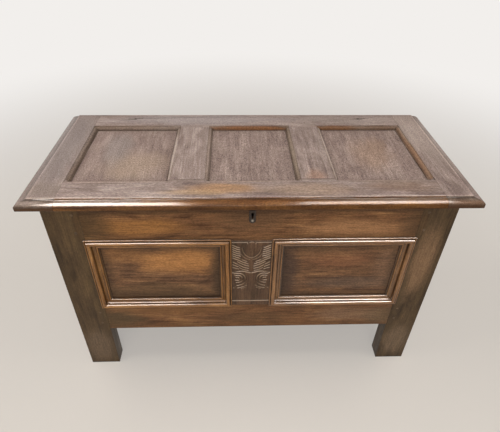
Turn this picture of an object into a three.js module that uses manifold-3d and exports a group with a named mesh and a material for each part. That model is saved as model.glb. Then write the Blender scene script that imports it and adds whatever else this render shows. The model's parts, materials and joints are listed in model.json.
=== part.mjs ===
// A joined oak coffer chest: a panelled carcass on square feet, with a panelled lid on staple hinges.
// Millimetres, +Z up. The origin is on the floor under the middle of the lid, and the front faces -Y.
import * as THREE from "three";
import { ConvexGeometry } from "three/addons/geometries/ConvexGeometry.js";
import { mergeVertices } from "three/addons/utils/BufferGeometryUtils.js";
import Module from "manifold-3d";

// Overall sizes
const lidWidth = 1280;
const lidDepth = 552;
const overallHeight = 758;
const lidThickness = 26;
const frontOverhang = 27;
const backOverhang = 12;
const endOverhang = 51;

// Carcass posts, rails and muntins
const frontPostWidth = 102;
const frontPostDepth = 52;
const backPostWidth = 90;
const backPostDepth = 45;
const footHeight = 200;
const topRailWidth = 132;
const bottomRailWidth = 116;
const railThickness = 28;
const frontMuntinWidth = 136;
const backMuntinWidth = 96;

// Mortise and tenon joints, and panels in their grooves
const fit = 0.3; // clearance between two pieces that touch
const overrun = 5; // how far a cutter runs out of the wood
const tenonThickness = 9;
const tenonShoulder = 16;
const longTenon = 56;
const shortTenon = 32;
const panelThickness = 11;
const panelEdge = 6;
const panelBevel = 45;
const panelEntry = 8;
const panelSetback = 11;
const shrinkageGap = 1.5;

// Mitred moulding round each front panel, from its outer edge inwards
const mouldingLap = 7;
const edgeBead = 5;
const edgeBeadRise = 1.5;
const roundStart = 6.5;
const roundWidth = 13;
const roundRise = 3.5;
const coveStart = 21;
const coveWidth = 9;
const coveRise = 1;
const coveDrop = 6;
const innerBead = 5;
const innerLedge = 4;
const ledgeDrop = 8;

// Lid
const lidStileWidth = 103;
const lidMuntinWidth = 99;
const lidFrontRailWidth = 106;
const lidBackRailWidth = 88;
const lidLeftBay = 301;
const lidCentreBay = 281;
const lidTenonThickness = 8;
const lidTenonInset = 32;
const lidPanelThickness = 9;
const lidPanelDrop = 13;

// Thumbnail moulding on the lid's front and end edges, from the bottom up
const lowerArris = 3;
const edgeFlat = 13;
const thumbWidth = 24;
const thumbHeight = 10;
const thumbStep = 1;

// Ovolo moulding on the lid's frame, round each lid panel
const ovoloWidth = 9;
const ovoloDepth = 10;
const ovoloStep = 1;
const ovoloStepDepth = 1.5;
const ovoloFillet = 2.5;

// Staple hinges of bent iron wire
const hingeInset = 184;
const wireRadius = 2;
const axisBehindCarcass = 4;
const eyePlay = 0.5;
const notchPlay = 1;
const barHalfLength = 8;
const clenchLength = 21;
const bendRadius = 3;
const bendRoom = 0.8; // clearance round the wire where it bends

// Floor boards on their battens
const floorThickness = 13;
const battenSize = 24;
const battenAboveRail = 12;
const floorBoards = 5;

// Lock with its sliding bolt, and the staple on the lid
const lockWidth = 96;
const lockHeight = 74;
const lockDepth = 15;
const lockWall = 2;
const boltLength = 36;
const boltHeight = 10;
const boltThickness = 5;
const boltTravel = 14;
const boltDrop = 12;
const boltSetback = 8;
const guideWall = 2;
const guideLength = 24;
const keyholeDrop = 32;
const keyholeRadius = 4.6;
const keySlotWidth = 5.4;
const keySlotLength = 17;
const drillPinRadius = 1.6;
const drillPinLength = 8;
const stapleThickness = 4;
const stapleWidth = 9;
const stapleEyeWidth = 6.2;
const stapleEyeHeight = 11;
const stapleLip = 3;
const staplePlateLength = 58;
const staplePlateWidth = 18;
const staplePlateThickness = 2;
const staplePlay = 1;
const escutcheonWidth = 19;
const escutcheonHeight = 45;
const escutcheonThickness = 1.5;
const escutcheonCorner = 3.2;
const escutcheonDrop = 20;

// How finely curves are divided, and how close two corners are one
const arrisSteps = 3;
const beadSteps = 4;
const profileSteps = 6;
const roundSteps = 8;
const wireSides = 8;
const wireSteps = 44;
const holeSides = 16;
const mergeDistance = 1e-4;

// Levels and faces that follow from the sizes
const lidBottom = overallHeight - lidThickness;
const carcassTop = lidBottom - fit;
const frontFace = -lidDepth / 2 + frontOverhang;
const backFace = lidDepth / 2 - backOverhang;
const sideFace = lidWidth / 2 - endOverhang;
const openingLow = footHeight + bottomRailWidth;
const openingHigh = carcassTop - topRailWidth;
const tenonFront = (railThickness - tenonThickness) / 2;
const tenonBack = tenonFront + tenonThickness;
const grooveDepth = panelEntry + shrinkageGap;
const muntinTenon = topRailWidth - lockHeight - tenonShoulder; // stops short of the lock

// Iron parts' places that follow from the sizes
const hingeX = sideFace - hingeInset;
const axisY = backFace + axisBehindCarcass;
const eyeRadius = 2 * wireRadius + eyePlay;
const lockBack = frontFace + railThickness;
const lockMiddle = lockBack - lockDepth / 2;
const boltZ = carcassTop - boltDrop;
const keyholeZ = carcassTop - keyholeDrop;

const oakColour = 0x6a4a30;
const oakDarkColour = 0x57432f;
const oakLidColour = 0x8a7764;
const insideColour = 0x8c6f4e;
const ironColour = 0x3a3733;
const oak = new THREE.MeshStandardMaterial({ color: oakColour, roughness: 0.42, metalness: 0 });
const oakDark = new THREE.MeshStandardMaterial({ color: oakDarkColour, roughness: 0.45, metalness: 0 });
const oakLid = new THREE.MeshStandardMaterial({ color: oakLidColour, roughness: 0.38, metalness: 0 });
const oakInside = new THREE.MeshStandardMaterial({ color: insideColour, roughness: 0.8, metalness: 0 });
const iron = new THREE.MeshStandardMaterial({ color: ironColour, roughness: 0.6, metalness: 0.8 });

const wasm = await Module();
wasm.setup();

// Solids: booleans on closed geometries
function toSolid(geometry) {
  const bare = geometry.clone();
  bare.deleteAttribute("normal");
  bare.deleteAttribute("uv");
  const merged = mergeVertices(bare, mergeDistance);
  return new wasm.Manifold(
    new wasm.Mesh({
      numProp: 3,
      vertProperties: new Float32Array(merged.attributes.position.array),
      triVerts: new Uint32Array(merged.index.array),
    }),
  );
}

function toGeometry(solid) {
  const mesh = solid.getMesh();
  const geometry = new THREE.BufferGeometry();
  geometry.setAttribute("position", new THREE.BufferAttribute(mesh.vertProperties, mesh.numProp));
  geometry.setIndex(new THREE.BufferAttribute(mesh.triVerts, 1));
  return geometry;
}

function combine(first, others, operation) {
  const result = others.reduce((solid, other) => solid[operation](toSolid(other)), toSolid(first));
  return toGeometry(result);
}

const join = (first, ...others) => combine(first, others, "add");
const cut = (first, ...others) => combine(first, others, "subtract");
const common = (first, ...others) => combine(first, others, "intersect");

// An outline through points of u and v
const shapeOf = (points) => new THREE.Shape(points.map(([u, v]) => new THREE.Vector2(u, v)));

// A box between two corners, given in any order
function box(x0, x1, y0, y1, z0, z1) {
  const geometry = new THREE.BoxGeometry(Math.abs(x1 - x0), Math.abs(y1 - y0), Math.abs(z1 - z0));
  return geometry.translate((x0 + x1) / 2, (y0 + y1) / 2, (z0 + z1) / 2);
}

// A cylinder from one point to another
function rod(from, to, radius, sides = holeSides) {
  const along = to.clone().sub(from);
  const geometry = new THREE.CylinderGeometry(radius, radius, along.length(), sides);
  const turn = new THREE.Quaternion().setFromUnitVectors(new THREE.Vector3(0, 1, 0), along.normalize());
  geometry.applyQuaternion(turn);
  const middle = from.clone().add(to).divideScalar(2);
  return geometry.translate(middle.x, middle.y, middle.z);
}

// A solid whose level sections are rectangles, from the lowest to the highest: { x0, x1, y0, y1, z }
function rectangleLoft(sections) {
  const cornersOf = ({ x0, x1, y0, y1, z }) => [x0, y0, z, x1, y0, z, x1, y1, z, x0, y1, z];
  const positions = sections.flatMap(cornersOf);
  const index = [0, 2, 1, 0, 3, 2];
  for (let level = 0; level + 1 < sections.length; level++) {
    for (let side = 0; side < 4; side++) {
      const a = 4 * level + side;
      const b = 4 * level + ((side + 1) % 4);
      index.push(a, b, b + 4, a, b + 4, a + 4);
    }
  }
  const top = 4 * (sections.length - 1);
  index.push(top, top + 1, top + 2, top, top + 2, top + 3);
  const geometry = new THREE.BufferGeometry();
  geometry.setAttribute("position", new THREE.Float32BufferAttribute(positions, 3));
  geometry.setIndex(index);
  return geometry;
}

// Points of a quarter of an ellipse about a centre, from one angle to another in quarter turns
function arc(centreU, centreV, radiusU, radiusV, startQuarter, endQuarter, steps = profileSteps) {
  return Array.from({ length: steps + 1 }, (_, step) => {
    const angle = ((startQuarter + ((endQuarter - startQuarter) * step) / steps) * Math.PI) / 2;
    return [centreU + radiusU * Math.cos(angle), centreV + radiusV * Math.sin(angle)];
  });
}

function addMesh(group, name, geometry, material) {
  const mesh = new THREE.Mesh(geometry, material);
  mesh.name = name;
  group.add(mesh);
  return mesh;
}

// A panel with a flat face at y = faceY that looks towards -Y, its back bevelled thin along the four edges
function bevelledPanel(x0, x1, z0, z1, faceY, thickness, edge, bevel) {
  const points = [];
  for (const [inset, y] of [
    [0, faceY],
    [0, faceY + edge],
    [bevel, faceY + thickness],
  ]) {
    for (const x of [x0 + inset, x1 - inset]) {
      for (const z of [z0 + inset, z1 - inset]) points.push(new THREE.Vector3(x, y, z));
    }
  }
  return new ConvexGeometry(points);
}

// How thick a bevelled panel is where it enters its groove
const thicknessAtGroove = (thickness, edge, bevel) => edge + ((thickness - edge) * panelEntry) / bevel;

// A panelled frame between two posts, in its own space: x along it, y from its outer face inwards, z up.
// The bays are the spans between the posts and the muntins.
function panelledFrame({ clear, muntinWidth, muntinPlaces, tenonLength }) {
  const half = clear / 2;
  const grooveBack = panelSetback + thicknessAtGroove(panelThickness, panelEdge, panelBevel) + fit;
  const groove = (x0, x1, z0, z1) => box(x0, x1, panelSetback - fit, grooveBack, z0, z1);
  const tenon = (x0, x1, z0, z1, grow) =>
    box(x0 - grow, x1 + grow, tenonFront - grow, tenonBack + grow, z0 - grow, z1 + grow);
  const muntinTenonAt = (x, grow) =>
    tenon(
      x - muntinWidth / 2 + tenonShoulder,
      x + muntinWidth / 2 - tenonShoulder,
      openingLow - muntinTenon,
      openingHigh + muntinTenon,
      grow,
    );

  const levels = { top: [openingHigh, carcassTop], bottom: [footHeight, openingLow] };
  const rails = {};
  for (const [level, [low, high]] of Object.entries(levels)) {
    const blank = box(fit - half, half - fit, 0, railThickness, low, high);
    const tenonEnd = half + tenonLength;
    const tenons = tenon(-tenonEnd, tenonEnd, low + tenonShoulder, high - tenonShoulder, 0);
    const edge = level === "top" ? openingHigh : openingLow;
    const intoRail = level === "top" ? grooveDepth : -grooveDepth;
    const outOfRail = level === "top" ? -overrun : overrun;
    rails[level] = cut(
      join(blank, tenons),
      groove(-half - overrun, half + overrun, edge + intoRail, edge + outOfRail),
      ...muntinPlaces.map((x) => muntinTenonAt(x, fit)),
    );
  }

  const muntins = muntinPlaces.map((x) => {
    const left = x - muntinWidth / 2;
    const right = x + muntinWidth / 2;
    const blank = box(left, right, 0, railThickness, openingLow + fit, openingHigh - fit);
    return cut(
      join(blank, muntinTenonAt(x, 0)),
      groove(left - overrun, left + grooveDepth, openingLow - overrun, openingHigh + overrun),
      groove(right - grooveDepth, right + overrun, openingLow - overrun, openingHigh + overrun),
    );
  });

  const edges = [-half, ...muntinPlaces.flatMap((x) => [x - muntinWidth / 2, x + muntinWidth / 2]), half];
  const bays = [];
  for (let i = 0; i < edges.length; i += 2) bays.push([edges[i], edges[i + 1]]);
  const panels = bays.map(([x0, x1]) =>
    bevelledPanel(
      x0 - panelEntry,
      x1 + panelEntry,
      openingLow - panelEntry,
      openingHigh + panelEntry,
      panelSetback,
      panelThickness,
      panelEdge,
      panelBevel,
    ),
  );

  // What the frame's ends need cut out of the posts
  const postCuts = [-1, 1].flatMap((side) => [
    ...Object.values(levels).map(([low, high]) =>
      box(
        side * (half - overrun),
        side * (half + tenonLength + fit),
        tenonFront - fit,
        tenonBack + fit,
        low + tenonShoulder - fit,
        high - tenonShoulder + fit,
      ),
    ),
    groove(
      side * (half - overrun),
      side * (half + grooveDepth),
      openingLow - grooveDepth,
      openingHigh + grooveDepth,
    ),
  ]);
  return { rails, muntins, panels, bays, postCuts };
}

// Sizes of the four frames, and where each stands: turned about Z, its outer face outwards
const frontClear = 2 * (sideFace - frontPostWidth);
const backClear = 2 * (sideFace - backPostWidth);
const endFront = frontFace + frontPostDepth;
const endBack = backFace - backPostDepth;
const backPitch = (backClear + backMuntinWidth) / 3; // from the middle of one of its three bays to the next

function frameGroup(x, y, turn) {
  const group = new THREE.Group();
  group.position.set(x, y, 0);
  group.rotation.z = turn;
  group.updateMatrixWorld(true);
  return group;
}

const endFrame = (side) => ({
  group: frameGroup(side * sideFace, (endFront + endBack) / 2, (side * Math.PI) / 2),
  ...panelledFrame({
    clear: endBack - endFront,
    muntinWidth: 0,
    muntinPlaces: [],
    tenonLength: shortTenon,
  }),
});

const frames = {
  front: {
    group: frameGroup(0, frontFace, 0),
    ...panelledFrame({
      clear: frontClear,
      muntinWidth: frontMuntinWidth,
      muntinPlaces: [0],
      tenonLength: longTenon,
    }),
  },
  back: {
    group: frameGroup(0, backFace, Math.PI),
    ...panelledFrame({
      clear: backClear,
      muntinWidth: backMuntinWidth,
      muntinPlaces: [-backPitch / 2, backPitch / 2],
      tenonLength: longTenon,
    }),
  },
  left_end: endFrame(-1),
  right_end: endFrame(1),
};

// A corner post that runs down as a foot, mortised and grooved for the two frames that meet in it
function cornerPost(side, width, y0, y1) {
  const cutters = Object.values(frames).flatMap(({ group, postCuts }) =>
    postCuts.map((cutter) => cutter.clone().applyMatrix4(group.matrixWorld)),
  );
  return cut(box(side * (sideFace - width), side * sideFace, y0, y1, 0, carcassTop), ...cutters);
}

// Section of the moulding round a front panel: u inwards from its outer edge, v out from the frame's face
function mouldingSection() {
  const innerEdge = coveStart + coveWidth + innerBead + innerLedge;
  const roundRadius = roundWidth / 2;
  const beadRadius = edgeBead / 2;
  const innerRadius = innerBead / 2;
  const innerBeadPlace = coveStart + coveWidth + innerRadius;
  return [
    [0, fit],
    ...arc(beadRadius, edgeBeadRise, beadRadius, beadRadius, 2, 0, beadSteps),
    [roundStart, edgeBeadRise],
    ...arc(roundStart + roundRadius, roundRise, roundRadius, roundRadius, 2, 0, roundSteps),
    [roundStart + roundWidth, coveRise],
    ...arc(coveStart + coveWidth, coveRise, coveWidth, coveRise + coveDrop, 2, 3, beadSteps),
    ...arc(innerBeadPlace, -coveDrop, innerRadius, innerRadius, 2, 0, beadSteps),
    [innerEdge - innerLedge, -ledgeDrop],
    [innerEdge, -ledgeDrop],
    [innerEdge, fit - panelSetback],
    [mouldingLap + fit, fit - panelSetback],
    [mouldingLap + fit, fit],
  ];
}

// One mitred length of that moulding: its outer edge at z = 0, its length centred on x, its face towards -Y
function mouldingLength(outerLength) {
  const geometry = new THREE.ExtrudeGeometry(shapeOf(mouldingSection()), {
    depth: outerLength,
    steps: 1,
    bevelEnabled: false,
  });
  const position = geometry.getAttribute("position");
  for (let i = 0; i < position.count; i++) {
    const inward = position.getX(i);
    const outward = position.getY(i);
    const atStart = position.getZ(i) < outerLength / 2;
    const mitred = outerLength / 2 - inward - fit;
    position.setXYZ(i, atStart ? -mitred : mitred, -outward, inward);
  }
  return geometry;
}

// The four lengths round one bay of the front frame, each turned about the bay's middle
function addPanelMoulding(group, prefix, [x0, x1]) {
  const width = x1 - x0 + 2 * mouldingLap;
  const height = openingHigh - openingLow + 2 * mouldingLap;
  const sides = [
    ["bottom", 0, width, height],
    ["left", 1, height, width],
    ["top", 2, width, height],
    ["right", 3, height, width],
  ];
  for (const [side, quarters, length, across] of sides) {
    const mesh = addMesh(group, `${prefix}_moulding_${side}`, mouldingLength(length), oak);
    mesh.geometry.translate(0, 0, -across / 2);
    mesh.position.set((x0 + x1) / 2, 0, (openingLow + openingHigh) / 2);
    mesh.rotation.y = (quarters * Math.PI) / 2;
  }
}

// A round wire bent along points, its corners eased to the bend radius
function bentWire(points) {
  const route = [points[0]];
  for (let i = 1; i + 1 < points.length; i++) {
    const [before, corner, after] = [points[i - 1], points[i], points[i + 1]];
    const ease = Math.min(bendRadius, before.distanceTo(corner) / 2, corner.distanceTo(after) / 2);
    const start = corner.clone().lerp(before, ease / corner.distanceTo(before));
    const end = corner.clone().lerp(after, ease / corner.distanceTo(after));
    const curve = new THREE.QuadraticBezierCurve3(start, corner, end);
    route.push(start, curve.getPoint(1 / 2), end);
  }
  route.push(points[points.length - 1]);
  const circle = arc(0, 0, wireRadius, wireRadius, 0, 4, wireSides).slice(0, -1);
  return new THREE.ExtrudeGeometry(shapeOf(circle), {
    extrudePath: new THREE.CatmullRomCurve3(route, false, "centripetal"),
    steps: wireSteps,
    bevelEnabled: false,
  });
}

// Points of the two staples of one hinge, linked round the axis.
// The carcass staple's bar lies on the axis, and its legs go down and forward through the back rail.
function carcassStaplePoints(x) {
  const inside = backFace - railThickness + wireRadius + fit;
  const drop = axisY - inside;
  const leg = (side) => x + side * barHalfLength;
  return [
    new THREE.Vector3(leg(-1) - clenchLength, inside, lidBottom - drop),
    new THREE.Vector3(leg(-1), inside, lidBottom - drop),
    new THREE.Vector3(leg(-1), axisY, lidBottom),
    new THREE.Vector3(leg(1), axisY, lidBottom),
    new THREE.Vector3(leg(1), inside, lidBottom - drop),
    new THREE.Vector3(leg(1) + clenchLength, inside, lidBottom - drop),
  ];
}

// The lid staple's eye goes round that bar, and its legs go up and forward through the lid.
function lidStaplePoints(x) {
  const clenchZ = overallHeight - wireRadius - fit;
  const legOffset = wireRadius + fit / 2;
  const forward = new THREE.Vector3(0, -1, 1).normalize();
  const across = new THREE.Vector3(0, 1, 1).normalize();
  const axis = new THREE.Vector3(x, axisY, lidBottom);
  const exit = (side) => {
    const start = axis.clone().addScaledVector(across, side * legOffset);
    return start.addScaledVector(forward, (clenchZ - start.z) / forward.z);
  };
  const gapAngle = Math.asin(legOffset / eyeRadius);
  const eyeSteps = 2 * profileSteps;
  const eye = Array.from({ length: eyeSteps + 1 }, (_, step) => {
    const angle = gapAngle + (2 * (Math.PI - gapAngle) * step) / eyeSteps;
    return axis
      .clone()
      .addScaledVector(forward, eyeRadius * Math.cos(angle))
      .addScaledVector(across, eyeRadius * Math.sin(angle));
  });
  const clench = (side) => exit(side).add(new THREE.Vector3(side * (clenchLength + wireRadius), 0, 0));
  return { start: clench(1), down: exit(1), eye, up: exit(-1), end: clench(-1) };
}

function lidStapleWire(x) {
  const { start, down, eye, up, end } = lidStaplePoints(x);
  return bentWire([start, down, ...eye, up, end]);
}

// What the hinges need cut out of the back rail of the carcass and of the lid
function hingeCutsInCarcass(x) {
  const notch = eyeRadius + wireRadius + notchPlay;
  const [first, , corner] = carcassStaplePoints(x);
  const axisAt = (offset) => new THREE.Vector3(x + offset, corner.y, corner.z);
  const cuts = [rod(axisAt(-wireRadius - notchPlay), axisAt(wireRadius + notchPlay), notch)];
  for (const side of [-1, 1]) {
    const top = axisAt(side * barHalfLength);
    const bottom = new THREE.Vector3(top.x, first.y, first.z);
    const past = bottom.clone().sub(top).setLength(overrun);
    cuts.push(rod(top.clone().sub(past), bottom.clone().add(past), wireRadius + bendRoom / 2));
    const slotStart = top.x - side * (wireRadius + bendRoom);
    const slotEnd = top.x + side * (clenchLength + bendRoom);
    const slot = wireRadius + bendRoom;
    const slotFront = first.y - wireRadius - overrun;
    cuts.push(box(slotStart, slotEnd, slotFront, first.y + slot, first.z - slot, first.z + slot));
  }
  return cuts;
}

function hingeCutsInLid(x) {
  const notch = eyeRadius + wireRadius + notchPlay;
  const { down, up } = lidStaplePoints(x);
  const axis = new THREE.Vector3(x, axisY, lidBottom);
  const at = (offset) => new THREE.Vector3(x + offset, axisY, lidBottom);
  const barReach = barHalfLength + wireRadius + notchPlay;
  const slot = wireRadius + bendRoom;
  const legs = down.clone().add(up).divideScalar(2);
  const past = legs.clone().sub(axis).setLength(overrun);
  const hole = 2 * wireRadius + fit;
  const slotReach = clenchLength + hole + fit;
  return [
    rod(at(-wireRadius - notchPlay), at(wireRadius + notchPlay), notch),
    rod(at(-barReach), at(barReach), eyeRadius + notchPlay),
    rod(axis, legs.clone().add(past), hole + fit),
    box(x - hole, x + slotReach, down.y - slot, down.y + slot, down.z - slot, down.z + overrun),
    box(x + hole, x - slotReach, up.y - slot, up.y + slot, up.z - slot, up.z + overrun),
  ];
}

// Keyhole: a round hole over a slot, cut along Y from one depth to another
function keyholeCut(y0, y1) {
  const round = rod(new THREE.Vector3(0, y0, keyholeZ), new THREE.Vector3(0, y1, keyholeZ), keyholeRadius);
  const slot = box(-keySlotWidth / 2, keySlotWidth / 2, y0, y1, keyholeZ - keySlotLength, keyholeZ);
  return join(round, slot);
}

function escutcheon() {
  const half = escutcheonWidth / 2;
  const low = carcassTop - escutcheonDrop - escutcheonHeight + half;
  const high = carcassTop - escutcheonDrop;
  const corner = escutcheonCorner;
  const outline = new THREE.Shape();
  outline.moveTo(-half, low);
  outline.absarc(0, low, half, Math.PI, 2 * Math.PI, false);
  outline.lineTo(half, high - corner);
  outline.absarc(half - corner, high - corner, corner, 0, Math.PI / 2, false);
  outline.lineTo(corner - half, high);
  outline.absarc(corner - half, high - corner, corner, Math.PI / 2, Math.PI, false);
  const plate = new THREE.ExtrudeGeometry(outline, {
    depth: escutcheonThickness,
    bevelEnabled: false,
    curveSegments: profileSteps,
  });
  plate.rotateX(Math.PI / 2);
  plate.translate(0, frontFace - fit, 0);
  return cut(plate, keyholeCut(frontFace - overrun, frontFace));
}

// Iron box let into the back of the top rail, open at the keyhole and at the staple's slot
function lockCase() {
  const half = lockWidth / 2;
  const low = carcassTop - lockHeight;
  const front = lockBack - lockDepth;
  const outer = box(-half, half, front, lockBack, low, carcassTop);
  const wall = lockWall;
  const cavity = box(wall - half, half - wall, front + wall, lockBack - wall, low + wall, carcassTop - wall);
  const slotX = stapleThickness / 2 + staplePlay;
  const slotY = stapleWidth / 2 + staplePlay / 2;
  const slot = box(-slotX, slotX, lockMiddle - slotY, lockMiddle + slotY, boltZ, carcassTop + overrun);
  const shell = cut(outer, cavity, slot, keyholeCut(front - overrun, front + wall + overrun / 2));
  const guideStart = boltSetback + boltTravel / 2;
  const inFront = front + wall / 2;
  const inBack = lockBack - wall / 2;
  const guides = [-1, 1].map((side) => {
    const near = boltZ + side * (boltHeight / 2 + fit);
    return box(guideStart, guideStart + guideLength, inFront, inBack, near, near + side * guideWall);
  });
  const pinStart = new THREE.Vector3(0, inBack, keyholeZ);
  const pinEnd = new THREE.Vector3(0, lockBack - wall - drillPinLength, keyholeZ);
  return join(shell, ...guides, rod(pinStart, pinEnd, drillPinRadius));
}

const lockBolt = () =>
  box(
    boltSetback,
    boltSetback + boltLength,
    lockMiddle - boltThickness / 2,
    lockMiddle + boltThickness / 2,
    boltZ - boltHeight / 2,
    boltZ + boltHeight / 2,
  );

// Plate let into the underside of the lid, with a tongue whose eye takes the bolt
function lidStaple() {
  const plate = box(
    -staplePlateLength / 2,
    staplePlateLength / 2,
    lockMiddle - staplePlateWidth / 2,
    lockMiddle + staplePlateWidth / 2,
    lidBottom,
    lidBottom + staplePlateThickness,
  );
  const half = stapleThickness / 2;
  const eyeLow = boltZ - stapleEyeHeight / 2;
  const tongueTop = lidBottom + staplePlateThickness / 2;
  const tongue = box(
    -half,
    half,
    lockMiddle - stapleWidth / 2,
    lockMiddle + stapleWidth / 2,
    eyeLow - stapleLip,
    tongueTop,
  );
  const eye = box(
    -half - overrun,
    half + overrun,
    lockMiddle - stapleEyeWidth / 2,
    lockMiddle + stapleEyeWidth / 2,
    eyeLow,
    eyeLow + stapleEyeHeight,
  );
  return join(plate, cut(tongue, eye));
}

const staplePlateRecess = () =>
  box(
    -staplePlateLength / 2 - fit,
    staplePlateLength / 2 + fit,
    lockMiddle - staplePlateWidth / 2 - fit,
    lockMiddle + staplePlateWidth / 2 + fit,
    lidBottom - overrun,
    lidBottom + staplePlateThickness + fit,
  );

// Lid: its outline with the moulded front and end edges, the back edge plain
function lidOutline() {
  const section = [
    ...arc(lowerArris, lowerArris, lowerArris, lowerArris, 3, 2, arrisSteps),
    ...arc(thumbWidth, edgeFlat, thumbWidth, thumbHeight, 2, 1, roundSteps),
    [thumbWidth + thumbStep, edgeFlat + thumbHeight],
    [thumbWidth + thumbStep, lidThickness],
  ];
  return rectangleLoft(
    section.map(([inset, up]) => ({
      x0: inset - lidWidth / 2,
      x1: lidWidth / 2 - inset,
      y0: inset - lidDepth / 2,
      y1: lidDepth / 2,
      z: lidBottom + up,
    })),
  );
}

// How far the frame's wood reaches into a bay below its upper arris
const ovoloReach = ovoloStep + ovoloWidth + ovoloFillet;

// What one bay removes from the lid's frame: the opening, wider at the top by the ovolo
function lidBayCut({ x0, x1, y0, y1 }) {
  const ovoloTop = lidThickness - ovoloStepDepth;
  const ovoloLow = lidThickness - ovoloDepth;
  const section = [
    [ovoloReach, -overrun],
    [ovoloReach, ovoloLow],
    ...arc(ovoloStep, ovoloLow, ovoloWidth, ovoloTop - ovoloLow, 0, 1),
    [0, ovoloTop],
    [0, lidThickness + overrun],
  ];
  return rectangleLoft(
    section.map(([inset, up]) => ({
      x0: x0 + inset,
      x1: x1 - inset,
      y0: y0 + inset,
      y1: y1 - inset,
      z: lidBottom + up,
    })),
  );
}

const lidRightBay = lidWidth - 2 * (lidStileWidth + lidMuntinWidth) - lidLeftBay - lidCentreBay;
const bayY0 = lidFrontRailWidth - lidDepth / 2;
const bayY1 = lidDepth / 2 - lidBackRailWidth;
const lidBays = [lidLeftBay, lidCentreBay, lidRightBay].reduce((bays, width) => {
  const last = bays[bays.length - 1];
  const x0 = last ? last.x1 + lidMuntinWidth : lidStileWidth - lidWidth / 2;
  return [...bays, { x0, x1: x0 + width, y0: bayY0, y1: bayY1 }];
}, []);

const lidTenonLow = lidBottom + (lidThickness - lidTenonThickness) / 2;
const lidTenonHigh = lidTenonLow + lidTenonThickness;
const lidPanelTop = overallHeight - lidPanelDrop;
const lidGrooveLow = lidPanelTop - thicknessAtGroove(lidPanelThickness, panelEdge, panelBevel) - fit;
const railShoulder = lidWidth / 2 - lidStileWidth;

const lidTenon = (x0, x1, y0, y1, grow) =>
  box(x0 - grow, x1 + grow, y0 - grow, y1 + grow, lidTenonLow - grow, lidTenonHigh + grow);

// The front and back rails: their places in Y, and the tenon that runs through into both stiles
const lidRailSpans = {
  front: {
    y0: -lidDepth / 2,
    y1: bayY0 + ovoloReach,
    tenon0: lidTenonInset - lidDepth / 2,
    tenon1: bayY0 - shrinkageGap,
  },
  back: {
    y0: bayY1 - ovoloReach,
    y1: lidDepth / 2,
    tenon0: bayY1 + shrinkageGap,
    tenon1: lidDepth / 2 - lidTenonInset,
  },
};

const lidRailTenon = ({ tenon0, tenon1 }, grow) =>
  lidTenon(-railShoulder - longTenon, railShoulder + longTenon, tenon0, tenon1, grow);

const lidMuntinSpans = lidBays.slice(1).map(({ x0 }) => ({
  x0: x0 - lidMuntinWidth - ovoloReach,
  x1: x0 + ovoloReach,
}));

const lidMuntinTenon = ({ x0, x1 }, grow) =>
  lidTenon(
    x0 + tenonShoulder,
    x1 - tenonShoulder,
    bayY0 + ovoloReach - muntinTenon,
    bayY1 - ovoloReach + muntinTenon,
    grow,
  );

// The grooves that take one lid panel, cut all round its bay
const lidPanelGroove = ({ x0, x1, y0, y1 }) => {
  const inset = ovoloReach - grooveDepth;
  return box(x0 + inset, x1 - inset, y0 + inset, y1 - inset, lidGrooveLow, lidPanelTop + fit);
};

function buildLid() {
  const group = new THREE.Group();
  const outline = lidOutline();
  const bayCuts = [...lidBays.map(lidBayCut), ...lidBays.map(lidPanelGroove)];
  const hingeCuts = [-hingeX, hingeX].flatMap(hingeCutsInLid);
  const [below, above] = [lidBottom - overrun, overallHeight + overrun];

  for (const [name, side] of [
    ["lid_left_stile", -1],
    ["lid_right_stile", 1],
  ]) {
    const inner = side * (railShoulder - ovoloReach);
    const blank = box(side * (lidWidth / 2), inner, -lidDepth / 2, lidDepth / 2, lidBottom, overallHeight);
    const railZones = Object.values(lidRailSpans).map(({ y0, y1 }) =>
      box(side * railShoulder, inner - side * overrun, y0 - fit, y1 + fit, below, above),
    );
    const mortises = Object.values(lidRailSpans).map((span) => lidRailTenon(span, fit));
    addMesh(group, name, cut(common(blank, outline), ...railZones, ...mortises, ...bayCuts), oakLid);
  }

  for (const [name, span] of Object.entries(lidRailSpans)) {
    const blank = box(fit - railShoulder, railShoulder - fit, span.y0, span.y1, lidBottom, overallHeight);
    const mortises = lidMuntinSpans.map((muntin) => lidMuntinTenon(muntin, fit));
    const fittings = name === "back" ? hingeCuts : [staplePlateRecess()];
    const tenoned = join(common(blank, outline), lidRailTenon(span, 0));
    addMesh(group, `lid_${name}_rail`, cut(tenoned, ...bayCuts, ...mortises, ...fittings), oakLid);
  }

  lidMuntinSpans.forEach((span, i) => {
    const [y0, y1] = [bayY0 + ovoloReach + fit, bayY1 - ovoloReach - fit];
    const blank = box(span.x0, span.x1, y0, y1, lidBottom, overallHeight);
    const shaped = join(cut(blank, ...bayCuts), lidMuntinTenon(span, 0));
    addMesh(group, i === 0 ? "lid_left_muntin" : "lid_right_muntin", shaped, oakLid);
  });

  ["lid_left_panel", "lid_centre_panel", "lid_right_panel"].forEach((name, i) => {
    const { x0, x1, y0, y1 } = lidBays[i];
    const inset = ovoloReach - panelEntry;
    const panel = bevelledPanel(
      x0 + inset,
      x1 - inset,
      y0 + inset,
      y1 - inset,
      0,
      lidPanelThickness,
      panelEdge,
      panelBevel,
    );
    panel.rotateX(-Math.PI / 2);
    panel.translate(0, 0, lidPanelTop);
    addMesh(group, name, panel, oakLid);
  });

  addMesh(group, "lid_lock_staple", lidStaple(), iron);
  return group;
}

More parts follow.
